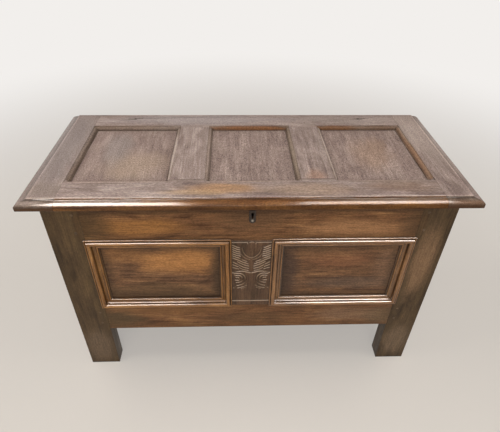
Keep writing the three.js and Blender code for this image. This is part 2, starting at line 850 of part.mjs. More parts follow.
// Two battens along the bottom rails, and boards across them, notched round the posts
function buildFloor() {
  const group = new THREE.Group();
  const inside0 = frontFace + railThickness + fit;
  const inside1 = backFace - railThickness - fit;
  const battenLow = footHeight + battenAboveRail;
  const battenHigh = battenLow + battenSize;
  const boardLow = battenHigh + fit;
  const clearOfPost = 2 * fit;
  const frontReach = sideFace - frontPostWidth - clearOfPost;
  const backReach = sideFace - backPostWidth - clearOfPost;
  const front = box(-frontReach, frontReach, inside0, inside0 + battenSize, battenLow, battenHigh);
  const back = box(-backReach, backReach, inside1 - battenSize, inside1, battenLow, battenHigh);
  addMesh(group, "floor_front_batten", front, oakInside);
  addMesh(group, "floor_back_batten", back, oakInside);

  const reach = sideFace - railThickness - fit;
  const pitch = (2 * reach + fit) / floorBoards;
  const postNotches = [-1, 1].flatMap((side) => [
    box(side * frontReach, side * sideFace, frontFace, frontFace + frontPostDepth + fit, 0, carcassTop),
    box(side * backReach, side * sideFace, backFace, backFace - backPostDepth - fit, 0, carcassTop),
  ]);
  for (let i = 0; i < floorBoards; i++) {
    const x0 = i * pitch - reach;
    const board = box(x0, x0 + pitch - fit, inside0, inside1, boardLow, boardLow + floorThickness);
    addMesh(group, `floor_board_${i + 1}`, cut(board, ...postNotches), oakInside);
  }
  return group;
}

function buildCarcass() {
  const group = new THREE.Group();
  const posts = [
    ["front_left_post", -1, frontPostWidth, frontFace, frontFace + frontPostDepth],
    ["front_right_post", 1, frontPostWidth, frontFace, frontFace + frontPostDepth],
    ["back_left_post", -1, backPostWidth, backFace - backPostDepth, backFace],
    ["back_right_post", 1, backPostWidth, backFace - backPostDepth, backFace],
  ];
  for (const [name, side, width, y0, y1] of posts) {
    addMesh(group, name, cornerPost(side, width, y0, y1), oakDark);
  }

  // The lock and its keyhole are let into the front's top rail, and the hinges into the back's
  const { front, back } = frames;
  const lockRecess = box(
    -lockWidth / 2 - fit,
    lockWidth / 2 + fit,
    railThickness - lockDepth - fit,
    railThickness + overrun,
    carcassTop - lockHeight - fit,
    carcassTop + overrun,
  );
  front.rails.top = cut(front.rails.top, lockRecess, keyholeCut(-overrun, railThickness));
  const toFrame = back.group.matrixWorld.clone().invert();
  const hingeCuts = [-hingeX, hingeX].flatMap(hingeCutsInCarcass);
  back.rails.top = cut(back.rails.top, ...hingeCuts.map((cutter) => cutter.applyMatrix4(toFrame)));

  const sideNames = { 1: ["left", "right"], 2: ["left", "centre", "right"] };
  for (const [name, frame] of Object.entries(frames)) {
    const frameOak = name === "back" ? oakDark : oak;
    addMesh(frame.group, `${name}_top_rail`, frame.rails.top, frameOak);
    addMesh(frame.group, `${name}_bottom_rail`, frame.rails.bottom, frameOak);
    const names = sideNames[frame.muntins.length];
    frame.muntins.forEach((muntin, i) => {
      const number = frame.muntins.length > 1 ? `_${i + 1}` : "";
      addMesh(frame.group, `${name}_muntin${number}`, muntin, frameOak);
    });
    frame.panels.forEach((panel, i) => {
      addMesh(frame.group, names ? `${name}_${names[i]}_panel` : `${name}_panel`, panel, oak);
    });
    group.add(frame.group);
  }
  front.bays.forEach((bay, i) => addPanelMoulding(front.group, i === 0 ? "left" : "right", bay));

  addMesh(group, "escutcheon", escutcheon(), iron);
  addMesh(group, "lock_case", lockCase(), iron);
  addMesh(group, "lock_bolt", lockBolt(), iron);
  return group;
}

function buildHinges() {
  const group = new THREE.Group();
  for (const [side, x] of [
    ["left", -hingeX],
    ["right", hingeX],
  ]) {
    addMesh(group, `${side}_hinge_carcass_staple`, bentWire(carcassStaplePoints(x)), iron);
    addMesh(group, `${side}_hinge_lid_staple`, lidStapleWire(x), iron);
  }
  return group;
}

const coffer = new THREE.Group();
coffer.add(buildCarcass(), buildFloor(), buildLid(), buildHinges());
export default coffer;
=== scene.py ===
# A joined oak coffer: moulded front panels, a carved muntin and a panelled lid, finished in old waxed oak.
import json
import math

import bmesh
import bpy
import numpy as np
from mathutils import Matrix, Vector

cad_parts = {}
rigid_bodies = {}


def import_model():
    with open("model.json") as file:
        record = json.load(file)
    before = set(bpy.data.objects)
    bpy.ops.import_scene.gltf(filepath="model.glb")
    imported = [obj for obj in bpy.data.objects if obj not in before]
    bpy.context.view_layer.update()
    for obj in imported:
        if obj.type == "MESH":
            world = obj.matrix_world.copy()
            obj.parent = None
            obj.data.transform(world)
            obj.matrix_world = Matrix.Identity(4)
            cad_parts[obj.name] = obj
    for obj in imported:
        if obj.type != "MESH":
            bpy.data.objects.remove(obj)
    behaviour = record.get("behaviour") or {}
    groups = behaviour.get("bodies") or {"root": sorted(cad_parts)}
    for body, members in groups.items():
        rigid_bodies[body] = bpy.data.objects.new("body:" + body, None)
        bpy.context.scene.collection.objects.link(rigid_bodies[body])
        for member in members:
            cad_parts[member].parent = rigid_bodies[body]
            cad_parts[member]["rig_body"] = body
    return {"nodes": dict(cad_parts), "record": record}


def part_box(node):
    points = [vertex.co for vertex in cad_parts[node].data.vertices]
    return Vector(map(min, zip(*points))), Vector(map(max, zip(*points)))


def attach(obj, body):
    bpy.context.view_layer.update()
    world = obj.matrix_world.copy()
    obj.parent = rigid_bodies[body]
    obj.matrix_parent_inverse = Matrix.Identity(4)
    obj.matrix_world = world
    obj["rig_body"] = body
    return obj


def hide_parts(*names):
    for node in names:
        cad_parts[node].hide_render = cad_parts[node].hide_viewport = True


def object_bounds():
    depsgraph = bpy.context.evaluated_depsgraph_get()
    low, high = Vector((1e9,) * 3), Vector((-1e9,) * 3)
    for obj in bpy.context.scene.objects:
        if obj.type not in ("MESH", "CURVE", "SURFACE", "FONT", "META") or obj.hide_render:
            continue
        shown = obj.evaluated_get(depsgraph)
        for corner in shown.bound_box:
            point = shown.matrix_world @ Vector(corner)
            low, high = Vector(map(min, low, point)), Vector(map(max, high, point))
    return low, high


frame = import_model()
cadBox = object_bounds()
nodes = frame["nodes"]
slotOf = {part["node"]: part["material_slot"] for part in frame["record"]["subparts"]}
mm = 0.001


# Nodes, colours and meshes

def hexToLinear(code):  # an sRGB hex value as linear RGBA
    channels = [int(code[i:i + 2], 16) / 255 for i in (1, 3, 5)]
    return [c / 12.92 if c <= 0.04045 else ((c + 0.055) / 1.055) ** 2.4 for c in channels] + [1]


def addNode(tree, kind, settings=None):
    # kind is the node's type without its prefix. A setting goes to an input, by its name or number, to a
    # ramp's stops or to a property of the node; where it is another node or a socket, it is linked
    node = tree.nodes.new("ShaderNode" + kind)
    for key, value in (settings or {}).items():
        if isinstance(value, bpy.types.Node):
            value = value.outputs[0]
        if isinstance(value, bpy.types.NodeSocket):
            tree.links.new(value, node.inputs[key])
        elif key == "stops":
            ramp = node.color_ramp.elements
            while len(ramp) < len(value):
                ramp.new(0.5)
            for stop, (place, code) in zip(ramp, value):
                stop.position = place
                stop.color = hexToLinear(code)
        elif isinstance(key, int) or key in node.inputs:
            node.inputs[key].default_value = value
        else:
            setattr(node, key, value)
    return node


# A map range node takes its value at 0, the range that this comes from at 1 and 2, and the range that it goes
# to at 3 and 4. A mix node takes its share at 0 and two colours at 6 and 7, and gives outputs[2].
mixed = {"data_type": "RGBA"}
multiplied = {"data_type": "RGBA", "blend_type": "MULTIPLY", 0: 1.0}


def newMaterial(name):
    material = bpy.data.materials.new(name)
    material.use_nodes = True
    material.node_tree.nodes.clear()
    return material, material.node_tree


def newObject(name, mesh):
    piece = bpy.data.objects.new(name, mesh)
    bpy.context.scene.collection.objects.link(piece)
    return piece


def meshFromGrid(name, points, closed=False):
    # points is rows x columns x 3; neighbouring rows and columns are joined by quads. A closed grid is a bar:
    # its last column joins the first, and its two ends are filled
    rows, columns = points.shape[:2]
    number = np.arange(rows * columns).reshape(rows, columns)
    if closed:
        number = np.concatenate([number, number[:, :1]], axis=1)
    quads = np.stack([number[:-1, :-1], number[:-1, 1:], number[1:, 1:], number[1:, :-1]], axis=-1)
    mesh = bpy.data.meshes.new(name)
    mesh.from_pydata(points.reshape(-1, 3).tolist(), [], quads.reshape(-1, 4).tolist())
    if closed:
        shape = bmesh.new()
        shape.from_mesh(mesh)
        bmesh.ops.holes_fill(shape, edges=[e for e in shape.edges if e.is_boundary])
        bmesh.ops.recalc_face_normals(shape, faces=shape.faces)
        shape.to_mesh(mesh)
        shape.free()
    return mesh


def takePlace(piece, node):
    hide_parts(node)
    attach(piece, nodes[node]["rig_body"])


# Camera at the photograph's angle

camera = {
    "place": (-0.0539, -1.2063, 1.4334),
    "pitchDown": 37.74,  # degrees, as the next two
    "turnRight": 2.33,
    "roll": 0.97,
    "focalPixels": 428.43,
    "middlePixel": 247.34,
    "imageWidth": 500,
    "sensorWidth": 36,
    "nearClip": 0.01,
}


def addCamera(c):
    pitch, turn, roll = (math.radians(c[k]) for k in ("pitchDown", "turnRight", "roll"))
    forward = Vector((math.sin(turn) * math.cos(pitch), math.cos(turn) * math.cos(pitch), -math.sin(pitch)))
    right = Vector((math.cos(turn), -math.sin(turn), 0))
    up = right.cross(forward)
    rolledRight = right * math.cos(roll) + up * math.sin(roll)
    rolledUp = up * math.cos(roll) - right * math.sin(roll)
    data = bpy.data.cameras.new("camera")
    data.sensor_width = c["sensorWidth"]
    data.lens = c["focalPixels"] / c["imageWidth"] * c["sensorWidth"]
    data.shift_x = (c["imageWidth"] / 2 - c["middlePixel"]) / c["imageWidth"]
    data.clip_start = c["nearClip"]
    photographer = bpy.data.objects.new("camera", data)
    bpy.context.scene.collection.objects.link(photographer)
    turned = Matrix((rolledRight, rolledUp, -forward)).transposed().to_4x4()
    photographer.matrix_world = Matrix.Translation(c["place"]) @ turned
    bpy.context.scene.camera = photographer


addCamera(camera)
print("camera set")


# Floor, soft boxes and the pale room

studio = {
    "floorRadius": 30,
    "floorColour": "#bbb1a4",
    "floorRough": 0.8,
    "paperColour": "#f2efec",  # what the far floor and the room look like
    "paperFrom": 1.0,  # metres from the chest at which the floor starts to look like paper
    "paperTo": 3.6,
    "paperNear": 0.36,  # how much of it the floor under the chest has already
    "roomStrength": 0.53,  # what the room gives as light
    "lamps": [
        # name, place, point it looks at, width, depth, watts
        ("leftCeiling", (-1.2, -0.1, 2.7), (-0.9, -0.1, 0), 1.3, 0.55, 31),
        ("rightCeiling", (1.3, -0.15, 2.7), (0.9, -0.1, 0), 1.2, 0.5, 22.5),
        ("frontSoftBox", (-0.2, -2.6, 1.9), (0, -0.25, 0.4), 2.6, 1.2, 39),
    ],
    "shineColour": "#fff2e8",
    "shineLamps": [  # strip lights that only the gloss sees: they draw the white lines along the mouldings
        ("leftShine", (-1.0, -0.6, 2.7), (-1.0, -0.6, 0), 1.1, 2.0, 400),
        ("rightShine", (1.05, -0.6, 2.7), (1.05, -0.6, 0), 1.2, 2.0, 400),
    ],
}


def seenRays(tree):  # 1 for rays from the camera and from glossy surfaces, whose background is the paper
    path = addNode(tree, "LightPath").outputs
    settings = {"operation": "MAXIMUM", 0: path["Is Camera Ray"], 1: path["Is Glossy Ray"]}
    return addNode(tree, "Math", settings)


def addFloor(s):  # matt paper: it takes the chest's soft shadow and turns to plain bright paper further off
    material, tree = newMaterial("matt_paper")
    settings = {"Roughness": s["floorRough"], "Specular IOR Level": 0.0}
    shader = addNode(tree, "BsdfPrincipled", {"Base Color": hexToLinear(s["floorColour"]), **settings})
    place = addNode(tree, "TexCoord").outputs["Object"]
    away = addNode(tree, "VectorMath", {"operation": "LENGTH", 0: place}).outputs["Value"]
    settings = {0: away, 1: s["paperFrom"], 2: s["paperTo"], 3: s["paperNear"]}
    far = addNode(tree, "MapRange", {"interpolation_type": "SMOOTHSTEP", **settings})
    share = addNode(tree, "Math", {"operation": "MULTIPLY", 0: far, 1: seenRays(tree)})
    paper = addNode(tree, "Emission", {"Color": hexToLinear(s["paperColour"])})
    floorLook = addNode(tree, "MixShader", {0: share, 1: shader, 2: paper})
    addNode(tree, "OutputMaterial", {"Surface": floorLook})
    reach = s["floorRadius"]
    corners = np.array([[(x, y, 0) for x in (-reach, reach)] for y in (-reach, reach)], float)
    floor = newObject("floor", meshFromGrid("floor", corners))
    floor.data.materials.append(material)


def addLamps(s):
    for name, place, target, width, depth, watts in s["lamps"] + s["shineLamps"]:
        light = bpy.data.lights.new(name, "AREA")
        light.shape = "RECTANGLE"
        light.size = width
        light.size_y = depth
        light.energy = watts
        lamp = bpy.data.objects.new(name, light)
        bpy.context.scene.collection.objects.link(lamp)
        lamp.visible_camera = False
        if name.endswith("Shine"):
            lamp.visible_diffuse = False
            light.color = hexToLinear(s["shineColour"])[:3]
        aim = Vector(target) - Vector(place)
        lamp.matrix_world = Matrix.Translation(place) @ aim.to_track_quat("-Z", "Y").to_matrix().to_4x4()


def addRoom(s):
    world = bpy.data.worlds.new("room")
    bpy.context.scene.world = world
    world.use_nodes = True
    tree = world.node_tree
    tree.nodes.clear()
    strength = addNode(tree, "MapRange", {0: seenRays(tree), 3: s["roomStrength"]})
    paper = hexToLinear(s["paperColour"])
    background = addNode(tree, "Background", {"Color": paper, "Strength": strength})
    addNode(tree, "OutputWorld", {"Surface": background})
    bpy.context.scene.view_settings.view_transform = "Standard"


addFloor(studio)
addLamps(studio)
addRoom(studio)
print("studio set")


# Old waxed oak: hand planed, worn smooth and dark with wax. It shows a mottled brown with fine dark grain
# along the wood, dirt towards its joints, painted shade in its grooves and a satin gloss; the lid's grey is
# painted sheen of the bright room. Bare oak, on the inner faces, is dry, matt and yellower.

# the lid's flat colours are greyed: painted sheen, the bright room's reflection in its wax
lidWax = {
    "flat": ("#706059", "#88776f", "#a09087"), "dirt": "#46372c", "dirtShare": 0.2,
    "finish": (0.45, 0.44, 0.15, 0.0), "flatCoat": 0.01,
}
mouldingWax = {"dirt": "#2f1c0c", "dirtShare": 0.1, "streak": 1.1, "fleck": 1.1, "creviceShade": 0.55}
oakTones = {
    # wood: the dark grain, the wood and its lighter places; flat: the same greyed by painted sheen
    # dirt: its colour at the piece's ends and sides; dirtShare: how much of it covers the wood there
    # finish: the wax's sheen, as roughness, coat weight, coat roughness and specular level
    # flatCoat: the coat weight away from the lid's moulded edge; worn: painted highlight on cut walls that
    # look up
    # streak, fleck: how much the grain and its flecks show
    # crevice shade: how dark the painted shade is in the deepest crevices
    "lid": {**lidWax, "wood": ("#4f2e14", "#734a24", "#936433"), "streak": 0.55, "fleck": 1.8},
    # lidSide's wood is greyed: painted sheen of the bright room on the lid's ends, back rail and muntins
    "lidSide": {**lidWax, "wood": ("#564438", "#6f5d50", "#887668"), "streak": 0.42, "fleck": 1.7,
                "creviceShade": 0.4},
    # the lid's panels are greyed the same way: painted sheen
    "lidPanel": {"wood": ("#705f57", "#827068", "#958379"), "dirt": "#4a3a30", "dirtShare": 0.2,
                 "finish": (0.45, 0.02, 0.26, 0.0), "streak": 0.45, "fleck": 2.3, "creviceShade": 0.5},
    "rail": {"wood": ("#4a2f1a", "#704c2f", "#926942"), "dirt": "#38260f", "dirtShare": 0.3,
             "finish": (0.42, 0.22, 0.22, 0.1), "streak": 1.2, "fleck": 1.5},
    "panel": {"wood": ("#483121", "#6c4c33", "#8d6745"), "dirt": "#2b1e12", "dirtShare": 0.5,
              "finish": (0.4, 0.25, 0.22, 0.1), "streak": 1.1, "fleck": 1.6},
    "post": {"wood": ("#372816", "#4e3b25", "#604b30"), "dirt": "#32240f", "dirtShare": 0.3,
             "finish": (0.45, 0.2, 0.25, 0.12), "streak": 0.8, "fleck": 1.3},
    "leftMoulding": {**mouldingWax, "wood": ("#5a3a1c", "#83592e", "#a07341"),
                     "finish": (0.36, 0.5, 0.16, 0.1)},
    "rightMoulding": {**mouldingWax, "wood": ("#583a1f", "#805831", "#9d7144"),
                      "finish": (0.36, 1.0, 0.16, 0.1)},
    "carved": {"wood": ("#3c2a17", "#513927", "#664a33"), "worn": "#a08569", "dirt": "#2a1d10",
               "dirtShare": 0.2, "finish": (0.38, 0.3, 0.2, 0.15), "streak": 0.8, "fleck": 1.0},
    "peg": {"wood": ("#493827", "#5b4733", "#6c563f"), "dirt": "#3a2c1e", "dirtShare": 0.0,
            "finish": (0.45, 0.2, 0.2, 0.15), "streak": 0.8, "fleck": 1.0},
    "back": {"wood": ("#382b1f", "#4e3d2c", "#5f4b38"), "dirt": "#2c221a", "dirtShare": 0.3,
             "finish": (0.65, 0.0, 0.5, 0.2), "streak": 1.3, "fleck": 1.4},
    "bare": {"wood": ("#5d452c", "#7c6142", "#947650"), "dirt": "#4a3826", "dirtShare": 0.3,
             "finish": (0.75, 0.0, 0.5, 0.25), "streak": 1.2, "fleck": 1.2},
}

oakGrain = {
    # each pattern's size across and along the grain, then its noise's detail, roughness and distortion
    "patch": (48 * mm, 150 * mm, 5, 0.62, 0.6),  # blotches of colour
    "figure": (9 * mm, 190 * mm, 4, 0.6, 0.8),
    "grain": (2.6 * mm, 60 * mm, 4, 0.6, 0),  # real pores are 0.3 mm wide; drawn coarser, so that they show
    "speck": (2.4 * mm, 6 * mm, 3, 0.65, 0),
    "shift": (7.3, 3.1, 5.7),  # from one piece's pattern to the next
    "patchShare": 0.6,  # how much of the colour follows the blotches; the rest follows the figure
    "colourStops": (0.38, 0.5, 0.63),  # where on those the dark grain, the wood and its lighter places lie
    "grainFrom": 0.36, "grainTo": 0.62,
    "streakDark": 0.24, "streakLight": 0.16,
    "speckFrom": 0.3, "speckTo": 0.7,
    "fleckDepth": 0.22,
    "patchFrom": 0.3, "patchTo": 0.7,
    "roughFrom": 0.08, "roughTo": -0.06,  # how much rougher the blotches are at those two levels
    "rippleHeight": 0.5 * mm, "rippleStrength": 0.3,  # left by the plane
    "poreHeight": 0.12 * mm, "poreStrength": 0.4,
    "ior": 1.5,  # of the wax
}
grimeAndShade = {
    "reach": 26 * mm,  # how far dirt spreads from a piece's ends and sides
    "patchLoose": 3.2, "figureLoose": 1.4,  # how much the blotches and the figure loosen its edge
    "from": 2.0, "to": 3.4,  # between these it rises from none to its full share
    "creviceReach": 9 * mm,  # how near another surface has to be for painted shade in a crevice
    "samples": 6,
    "creviceShade": 0.28,  # how dark the painted shade is in the deepest crevices, where a tone doesn't say
    "deepest": 0.4, "unshaded": 0.92,  # how open to the air the darkest crevices are, and from what openness wood gets no painted shade
}
spotEdge = {"wander": 0.9, "full": 0.7}  # how far its outline strays, and how far in it is at full strength
gougeShade = 0.3  # how dark the painted shade is on a cut's wall that looks down

lidStep = 25  # mm from the lid's edge to the step behind its thumbnail moulding
lidLook = {
    "stepFrom": lidStep + 1, "stepTo": lidStep + 2,  # mm, where the flat begins behind that step
    "sheenGreyFrom": 0.9 * mm, "sheenGreyFull": 0.2 * mm,  # below the lid's top, where the painted sheen's grey starts and where it is full
    "endShading": 0.4,  # how strong the moulding's painted light and shade are on the lid's ends
    # hands have polished the lid's moulded edge more than its flat, and most on the left
    "polishFrom": -0.3, "polishTo": 0.2, "polishLeast": 0.5,
    "flatFrom": lidStep + 1.5, "flatTo": lidStep + 3,
}

# painted shade and highlight: how dark or light the wood is at each distance, in mm, inwards from a
# moulding's outer edge; dark in quirks and fillets, light on beads, rounds and arrises
barLightAndShade = [
    (0, 0.6), (1.2, 1.1), (4.2, 1.15), (5.4, 0.5), (6.4, 0.5), (7.8, 1.0), (10, 1.2), (15, 1.15), (18, 0.95),
    (19.6, 0.6), (21, 0.6), (22, 0.9), (27, 0.85), (29.6, 0.5), (31, 1.2), (34, 1.05), (35.4, 0.4),
    (39, 0.35),
]
# on the lid's thumbnail: painted shade on its underside and fillet, a painted highlight on the arris behind
# it
lidEdgeLightAndShade = [
    (0, 0.75), (3, 0.9), (8, 0.95), (14, 0.9), (17.5, 0.7), (21, 0.5), (24.4, 0.4), (25.3, 1.6), (28, 1.4),
    (33, 1),
]


def seenBox(node):  # a rail's or panel's box without what its joints or mouldings hide
    low, high = (Vector(corner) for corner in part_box(node))
    if node.startswith("front_") and node.endswith("rail"):
        low.x, high.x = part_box("front_left_post")[1].x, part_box("front_right_post")[0].x
    if node in ("front_left_panel", "front_right_panel"):
        side = node.split("_")[1]
        low.x, high.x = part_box(side + "_moulding_left")[1].x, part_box(side + "_moulding_right")[0].x
        low.z, high.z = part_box(side + "_moulding_bottom")[1].z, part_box(side + "_moulding_top")[0].z
    sides = {
        "lid_left_panel": ("lid_left_stile", "lid_left_muntin"),
        "lid_centre_panel": ("lid_left_muntin", "lid_right_muntin"),
        "lid_right_panel": ("lid_right_muntin", "lid_right_stile"),
    }
    if node in sides:
        left, right = sides[node]
        low.x, high.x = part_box(left)[1].x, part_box(right)[0].x
        low.y, high.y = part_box("lid_front_rail")[1].y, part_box("lid_back_rail")[0].y
    return low, high


def oakPatterns(tree, place, grainAxis, seed):  # noise drawn out along the grain, one for each pattern
    patterns = {}
    for name in ("patch", "figure", "grain", "speck"):
        across, along, detail, rough, distortion = oakGrain[name]
        scale = [1 / across] * 3
        scale[grainAxis] = 1 / along
        step = 1 if name == "patch" else seed  # blotches run on from piece to piece
        settings = {"Vector": place, "Scale": scale, "Location": [step * s for s in oakGrain["shift"]]}
        stretched = addNode(tree, "Mapping", settings)
        settings = {"Scale": 1, "Detail": detail, "Roughness": rough, "Distortion": distortion}
        patterns[name] = addNode(tree, "TexNoise", {"Vector": stretched, **settings})
    return patterns


def grainShade(tree, patterns, tone):  # 1 on plain wood, less on dark streaks and flecks, more on light ones
    g = oakGrain
    streak, fleck = tone["streak"], tone["fleck"] * g["fleckDepth"]
    settings = {3: 1 - g["streakDark"] * streak, 4: 1 + g["streakLight"] * streak}
    settings = {0: patterns["grain"], 1: g["grainFrom"], 2: g["grainTo"], **settings}
    streaks = addNode(tree, "MapRange", settings)
    settings = {0: patterns["speck"], 1: g["speckFrom"], 2: g["speckTo"], 3: 1 - fleck, 4: 1 + fleck}
    flecks = addNode(tree, "MapRange", settings)
    return addNode(tree, "Math", {"operation": "MULTIPLY", 0: streaks, 1: flecks})


def endShare(tree, distances):  # 1 on the lid's moulded ends, 0 on its moulded front and on its flat
    beyond = addNode(tree, "Math", {"operation": "SUBTRACT", 0: distances[1], 1: distances[0]})
    nearer = addNode(tree, "MapRange", {0: beyond, 1: -1, 2: 1, 3: 1, 4: 0})
    settings = {0: distances[1], 1: lidLook["stepFrom"], 2: lidLook["stepTo"], 3: 1, 4: 0}
    moulded = addNode(tree, "MapRange", settings)
    return addNode(tree, "Math", {"operation": "MULTIPLY", 0: nearer, 1: moulded})


def sheenGreyShare(tree, height, distances, onEnd):
    # painted sheen: the lid's top, its ends and all behind its step are greyer than its front edge
    # and inner mouldings
    top = cadBox[1][2]
    settings = {0: height, 1: top - lidLook["sheenGreyFrom"], 2: top - lidLook["sheenGreyFull"]}
    sheenGreyed = addNode(tree, "MapRange", settings)
    if len(distances) == 1:
        settings = {0: distances[0], 1: lidLook["stepFrom"], 2: lidLook["stepTo"]}
        onEnd = addNode(tree, "MapRange", settings)
    if onEnd is None:
        return sheenGreyed
    return addNode(tree, "Math", {"operation": "MAXIMUM", 0: sheenGreyed, 1: onEnd})


def softBall(tree, place, centre, radii, wander=(0, 0, 0)):
    # 1 in the centre, falling to 0 at the radii, both in mm, its outline moved by wander
    scale = [1 / (r * mm) for r in radii]
    shift = [-c * mm * k for c, k in zip(centre, scale)]
    around = addNode(tree, "Mapping", {"Vector": place, "Scale": scale, "Location": shift})
    moved = addNode(tree, "VectorMath", {"operation": "ADD", 0: around, 1: wander})
    return addNode(tree, "TexGradient", {"gradient_type": "SPHERICAL", "Vector": moved}).outputs[1]


def stainedAndPaintedLight(tree, place, patches, shade, colour, spots):
    # each spot is a soft round stain, worn place, painted shadow, painted sheen or painted highlight, its
    # outline loosened by the blotches
    stray = spotEdge["wander"]
    settings = {"operation": "MULTIPLY_ADD", 0: patches.outputs[1], 1: (stray,) * 3, 2: (-stray / 2,) * 3}
    wander = addNode(tree, "VectorMath", settings)
    for x, y, z, *radii, code, share in spots:
        ball = softBall(tree, place, (x, y, z), radii, wander)
        tint = addNode(tree, "Mix", {**multiplied, 6: shade, 7: hexToLinear(code)}).outputs[2]
        settings = {"interpolation_type": "SMOOTHSTEP", 0: ball, 2: spotEdge["full"], 4: share}
        strength = addNode(tree, "MapRange", settings)
        colour = addNode(tree, "Mix", {**mixed, 0: strength, 6: colour, 7: tint}).outputs[2]
    return colour


def dirtShare(tree, place, node, patterns, share):
    # 0 within the piece, rising to share at its seen ends and sides: how far each coordinate lies beyond
    # half the piece less the dirt's reach, the greatest of the three
    low, high = seenBox(node)
    middle, half = (low + high) / 2, (high - low) / 2
    thin = min(range(3), key=lambda i: half[i])
    reach = grimeAndShade["reach"]
    scale = [1 / reach if i != thin else 0 for i in range(3)]
    settings = {"Vector": place, "Scale": scale, "Location": [-middle[i] * scale[i] for i in range(3)]}
    centred = addNode(tree, "Mapping", settings)
    outwards = addNode(tree, "VectorMath", {"operation": "ABSOLUTE", 0: centred})
    inset = [1 - half[i] / reach if i != thin else -1 for i in range(3)]
    nearEdge = addNode(tree, "VectorMath", {"operation": "ADD", 0: outwards, 1: inset})
    parts = addNode(tree, "SeparateXYZ", {0: nearEdge}).outputs
    outmost = addNode(tree, "Math", {"operation": "MAXIMUM", 0: parts[1], 1: parts[2]})
    outmost = addNode(tree, "Math", {"operation": "MAXIMUM", 0: parts[0], 1: outmost})
    for name, loose in (("figure", grimeAndShade["figureLoose"]), ("patch", grimeAndShade["patchLoose"])):
        settings = {"operation": "MULTIPLY_ADD", 0: patterns[name], 1: loose, 2: outmost}
        outmost = addNode(tree, "Math", settings)
    settings = {0: outmost, 1: grimeAndShade["from"], 2: grimeAndShade["to"], 4: share}
    return addNode(tree, "MapRange", {"interpolation_type": "SMOOTHSTEP", **settings})


def paintedEdgeShading(tree, nearest, edgeShading, onEnd):
    # painted shade and highlight: how dark or light the wood is by its distance from a moulding's edge,
    # on a curve that holds half of each level
    furthest = edgeShading[-1][0]
    settings = {"operation": "DIVIDE", "use_clamp": True, 0: nearest, 1: furthest}
    lines = addNode(tree, "FloatCurve", {1: addNode(tree, "Math", settings)})
    points = lines.mapping.curves[0].points
    while len(points) < len(edgeShading):
        points.new(0.5, 0.5)
    for point, (distance, level) in zip(points, edgeShading):
        point.location = (distance / furthest, level / 2)
        point.handle_type = "VECTOR"
    lines.mapping.update()
    level = addNode(tree, "Math", {"operation": "MULTIPLY", 0: lines, 1: 2.0})
    if onEnd is None:
        return level
    fade = 1 - lidLook["endShading"]
    towardsPlain = addNode(tree, "Math", {"operation": "MULTIPLY_ADD", 0: level, 1: -fade, 2: fade})
    fainter = addNode(tree, "Math", {"operation": "MULTIPLY", 0: onEnd, 1: towardsPlain})
    return addNode(tree, "Math", {"operation": "ADD", 0: level, 1: fainter})


def polishedCoat(tree, across, nearest, coat, flatCoat):  # less to the right, and least on the flat
    settings = {1: lidLook["polishFrom"], 2: lidLook["polishTo"], 3: coat, 4: coat * lidLook["polishLeast"]}
    polish = addNode(tree, "MapRange", {0: across, **settings})
    onFlat = addNode(tree, "MapRange", {0: nearest, 1: lidLook["flatFrom"], 2: lidLook["flatTo"]})
    lost = addNode(tree, "Math", {"operation": "MULTIPLY_ADD", 0: polish, 1: -1.0, 2: flatCoat})
    return addNode(tree, "Math", {"operation": "MULTIPLY_ADD", 0: onFlat, 1: lost, 2: polish})


def woodColour(tree, tone, patterns, shade, height, distances, onEnd):
    # ramp(blotches and figure), greyed on the lid by painted sheen, times the grain's shade
    share = oakGrain["patchShare"]
    figure = addNode(tree, "Math", {"operation": "MULTIPLY", 0: patterns["figure"], 1: 1 - share})
    settings = {"operation": "MULTIPLY_ADD", 0: patterns["patch"], 1: share, 2: figure}
    blend = addNode(tree, "Math", settings)
    stops = [*zip(oakGrain["colourStops"], tone["wood"])]
    colour = addNode(tree, "ValToRGB", {0: blend, "stops": stops})
    if "flat" in tone:
        stops = [*zip(oakGrain["colourStops"], tone["flat"])]
        flat = addNode(tree, "ValToRGB", {0: blend, "stops": stops})
        sheenGreyed = sheenGreyShare(tree, height, distances, onEnd)
        colour = addNode(tree, "Mix", {**mixed, 0: sheenGreyed, 6: colour, 7: flat}).outputs[2]
    return addNode(tree, "Mix", {**multiplied, 6: colour, 7: shade}).outputs[2]


def soiledAndShaded(tree, place, node, tone, patterns, shade, colour):
    # dirt towards the piece's ends and sides, and painted shade in its crevices, by ambient occlusion
    dirt = addNode(tree, "Mix", {**multiplied, 6: shade, 7: hexToLinear(tone["dirt"])}).outputs[2]
    share = dirtShare(tree, place, node, patterns, tone["dirtShare"])
    colour = addNode(tree, "Mix", {**mixed, 0: share, 6: colour, 7: dirt}).outputs[2]
    settings = {"samples": grimeAndShade["samples"], "Distance": grimeAndShade["creviceReach"]}
    openAir = addNode(tree, "AmbientOcclusion", settings).outputs["AO"]
    darkest = tone.get("creviceShade", grimeAndShade["creviceShade"])
    dark = addNode(tree, "MapRange", {0: openAir, 1: grimeAndShade["deepest"], 2: grimeAndShade["unshaded"], 3: darkest})
    return addNode(tree, "Mix", {**multiplied, 6: colour, 7: dark}).outputs[2]


def cutLightAndShade(tree, tone, colour):  # painted shade on cut walls that look down, painted highlight on those that look up
    gouged = addNode(tree, "Attribute", {"attribute_name": "gouged"}).outputs["Fac"]
    looksDown = addNode(tree, "MapRange", {0: gouged, 3: 1, 4: gougeShade})
    colour = addNode(tree, "Mix", {**multiplied, 6: colour, 7: looksDown}).outputs[2]
    looksUp = addNode(tree, "MapRange", {0: gouged, 1: 0, 2: -1})
    return addNode(tree, "Mix", {**mixed, 0: looksUp, 6: colour, 7: hexToLinear(tone["worn"])}).outputs[2]


def planedRelief(tree, patterns, shade):  # the plane's ripples and the wood's pores
    settings = {"Strength": oakGrain["rippleStrength"], "Distance": oakGrain["rippleHeight"]}
    ripple = addNode(tree, "Bump", {"Height": patterns["figure"], **settings})
    settings = {"Strength": oakGrain["poreStrength"], "Distance": oakGrain["poreHeight"]}
    return addNode(tree, "Bump", {"Height": shade, "Normal": ripple, **settings})


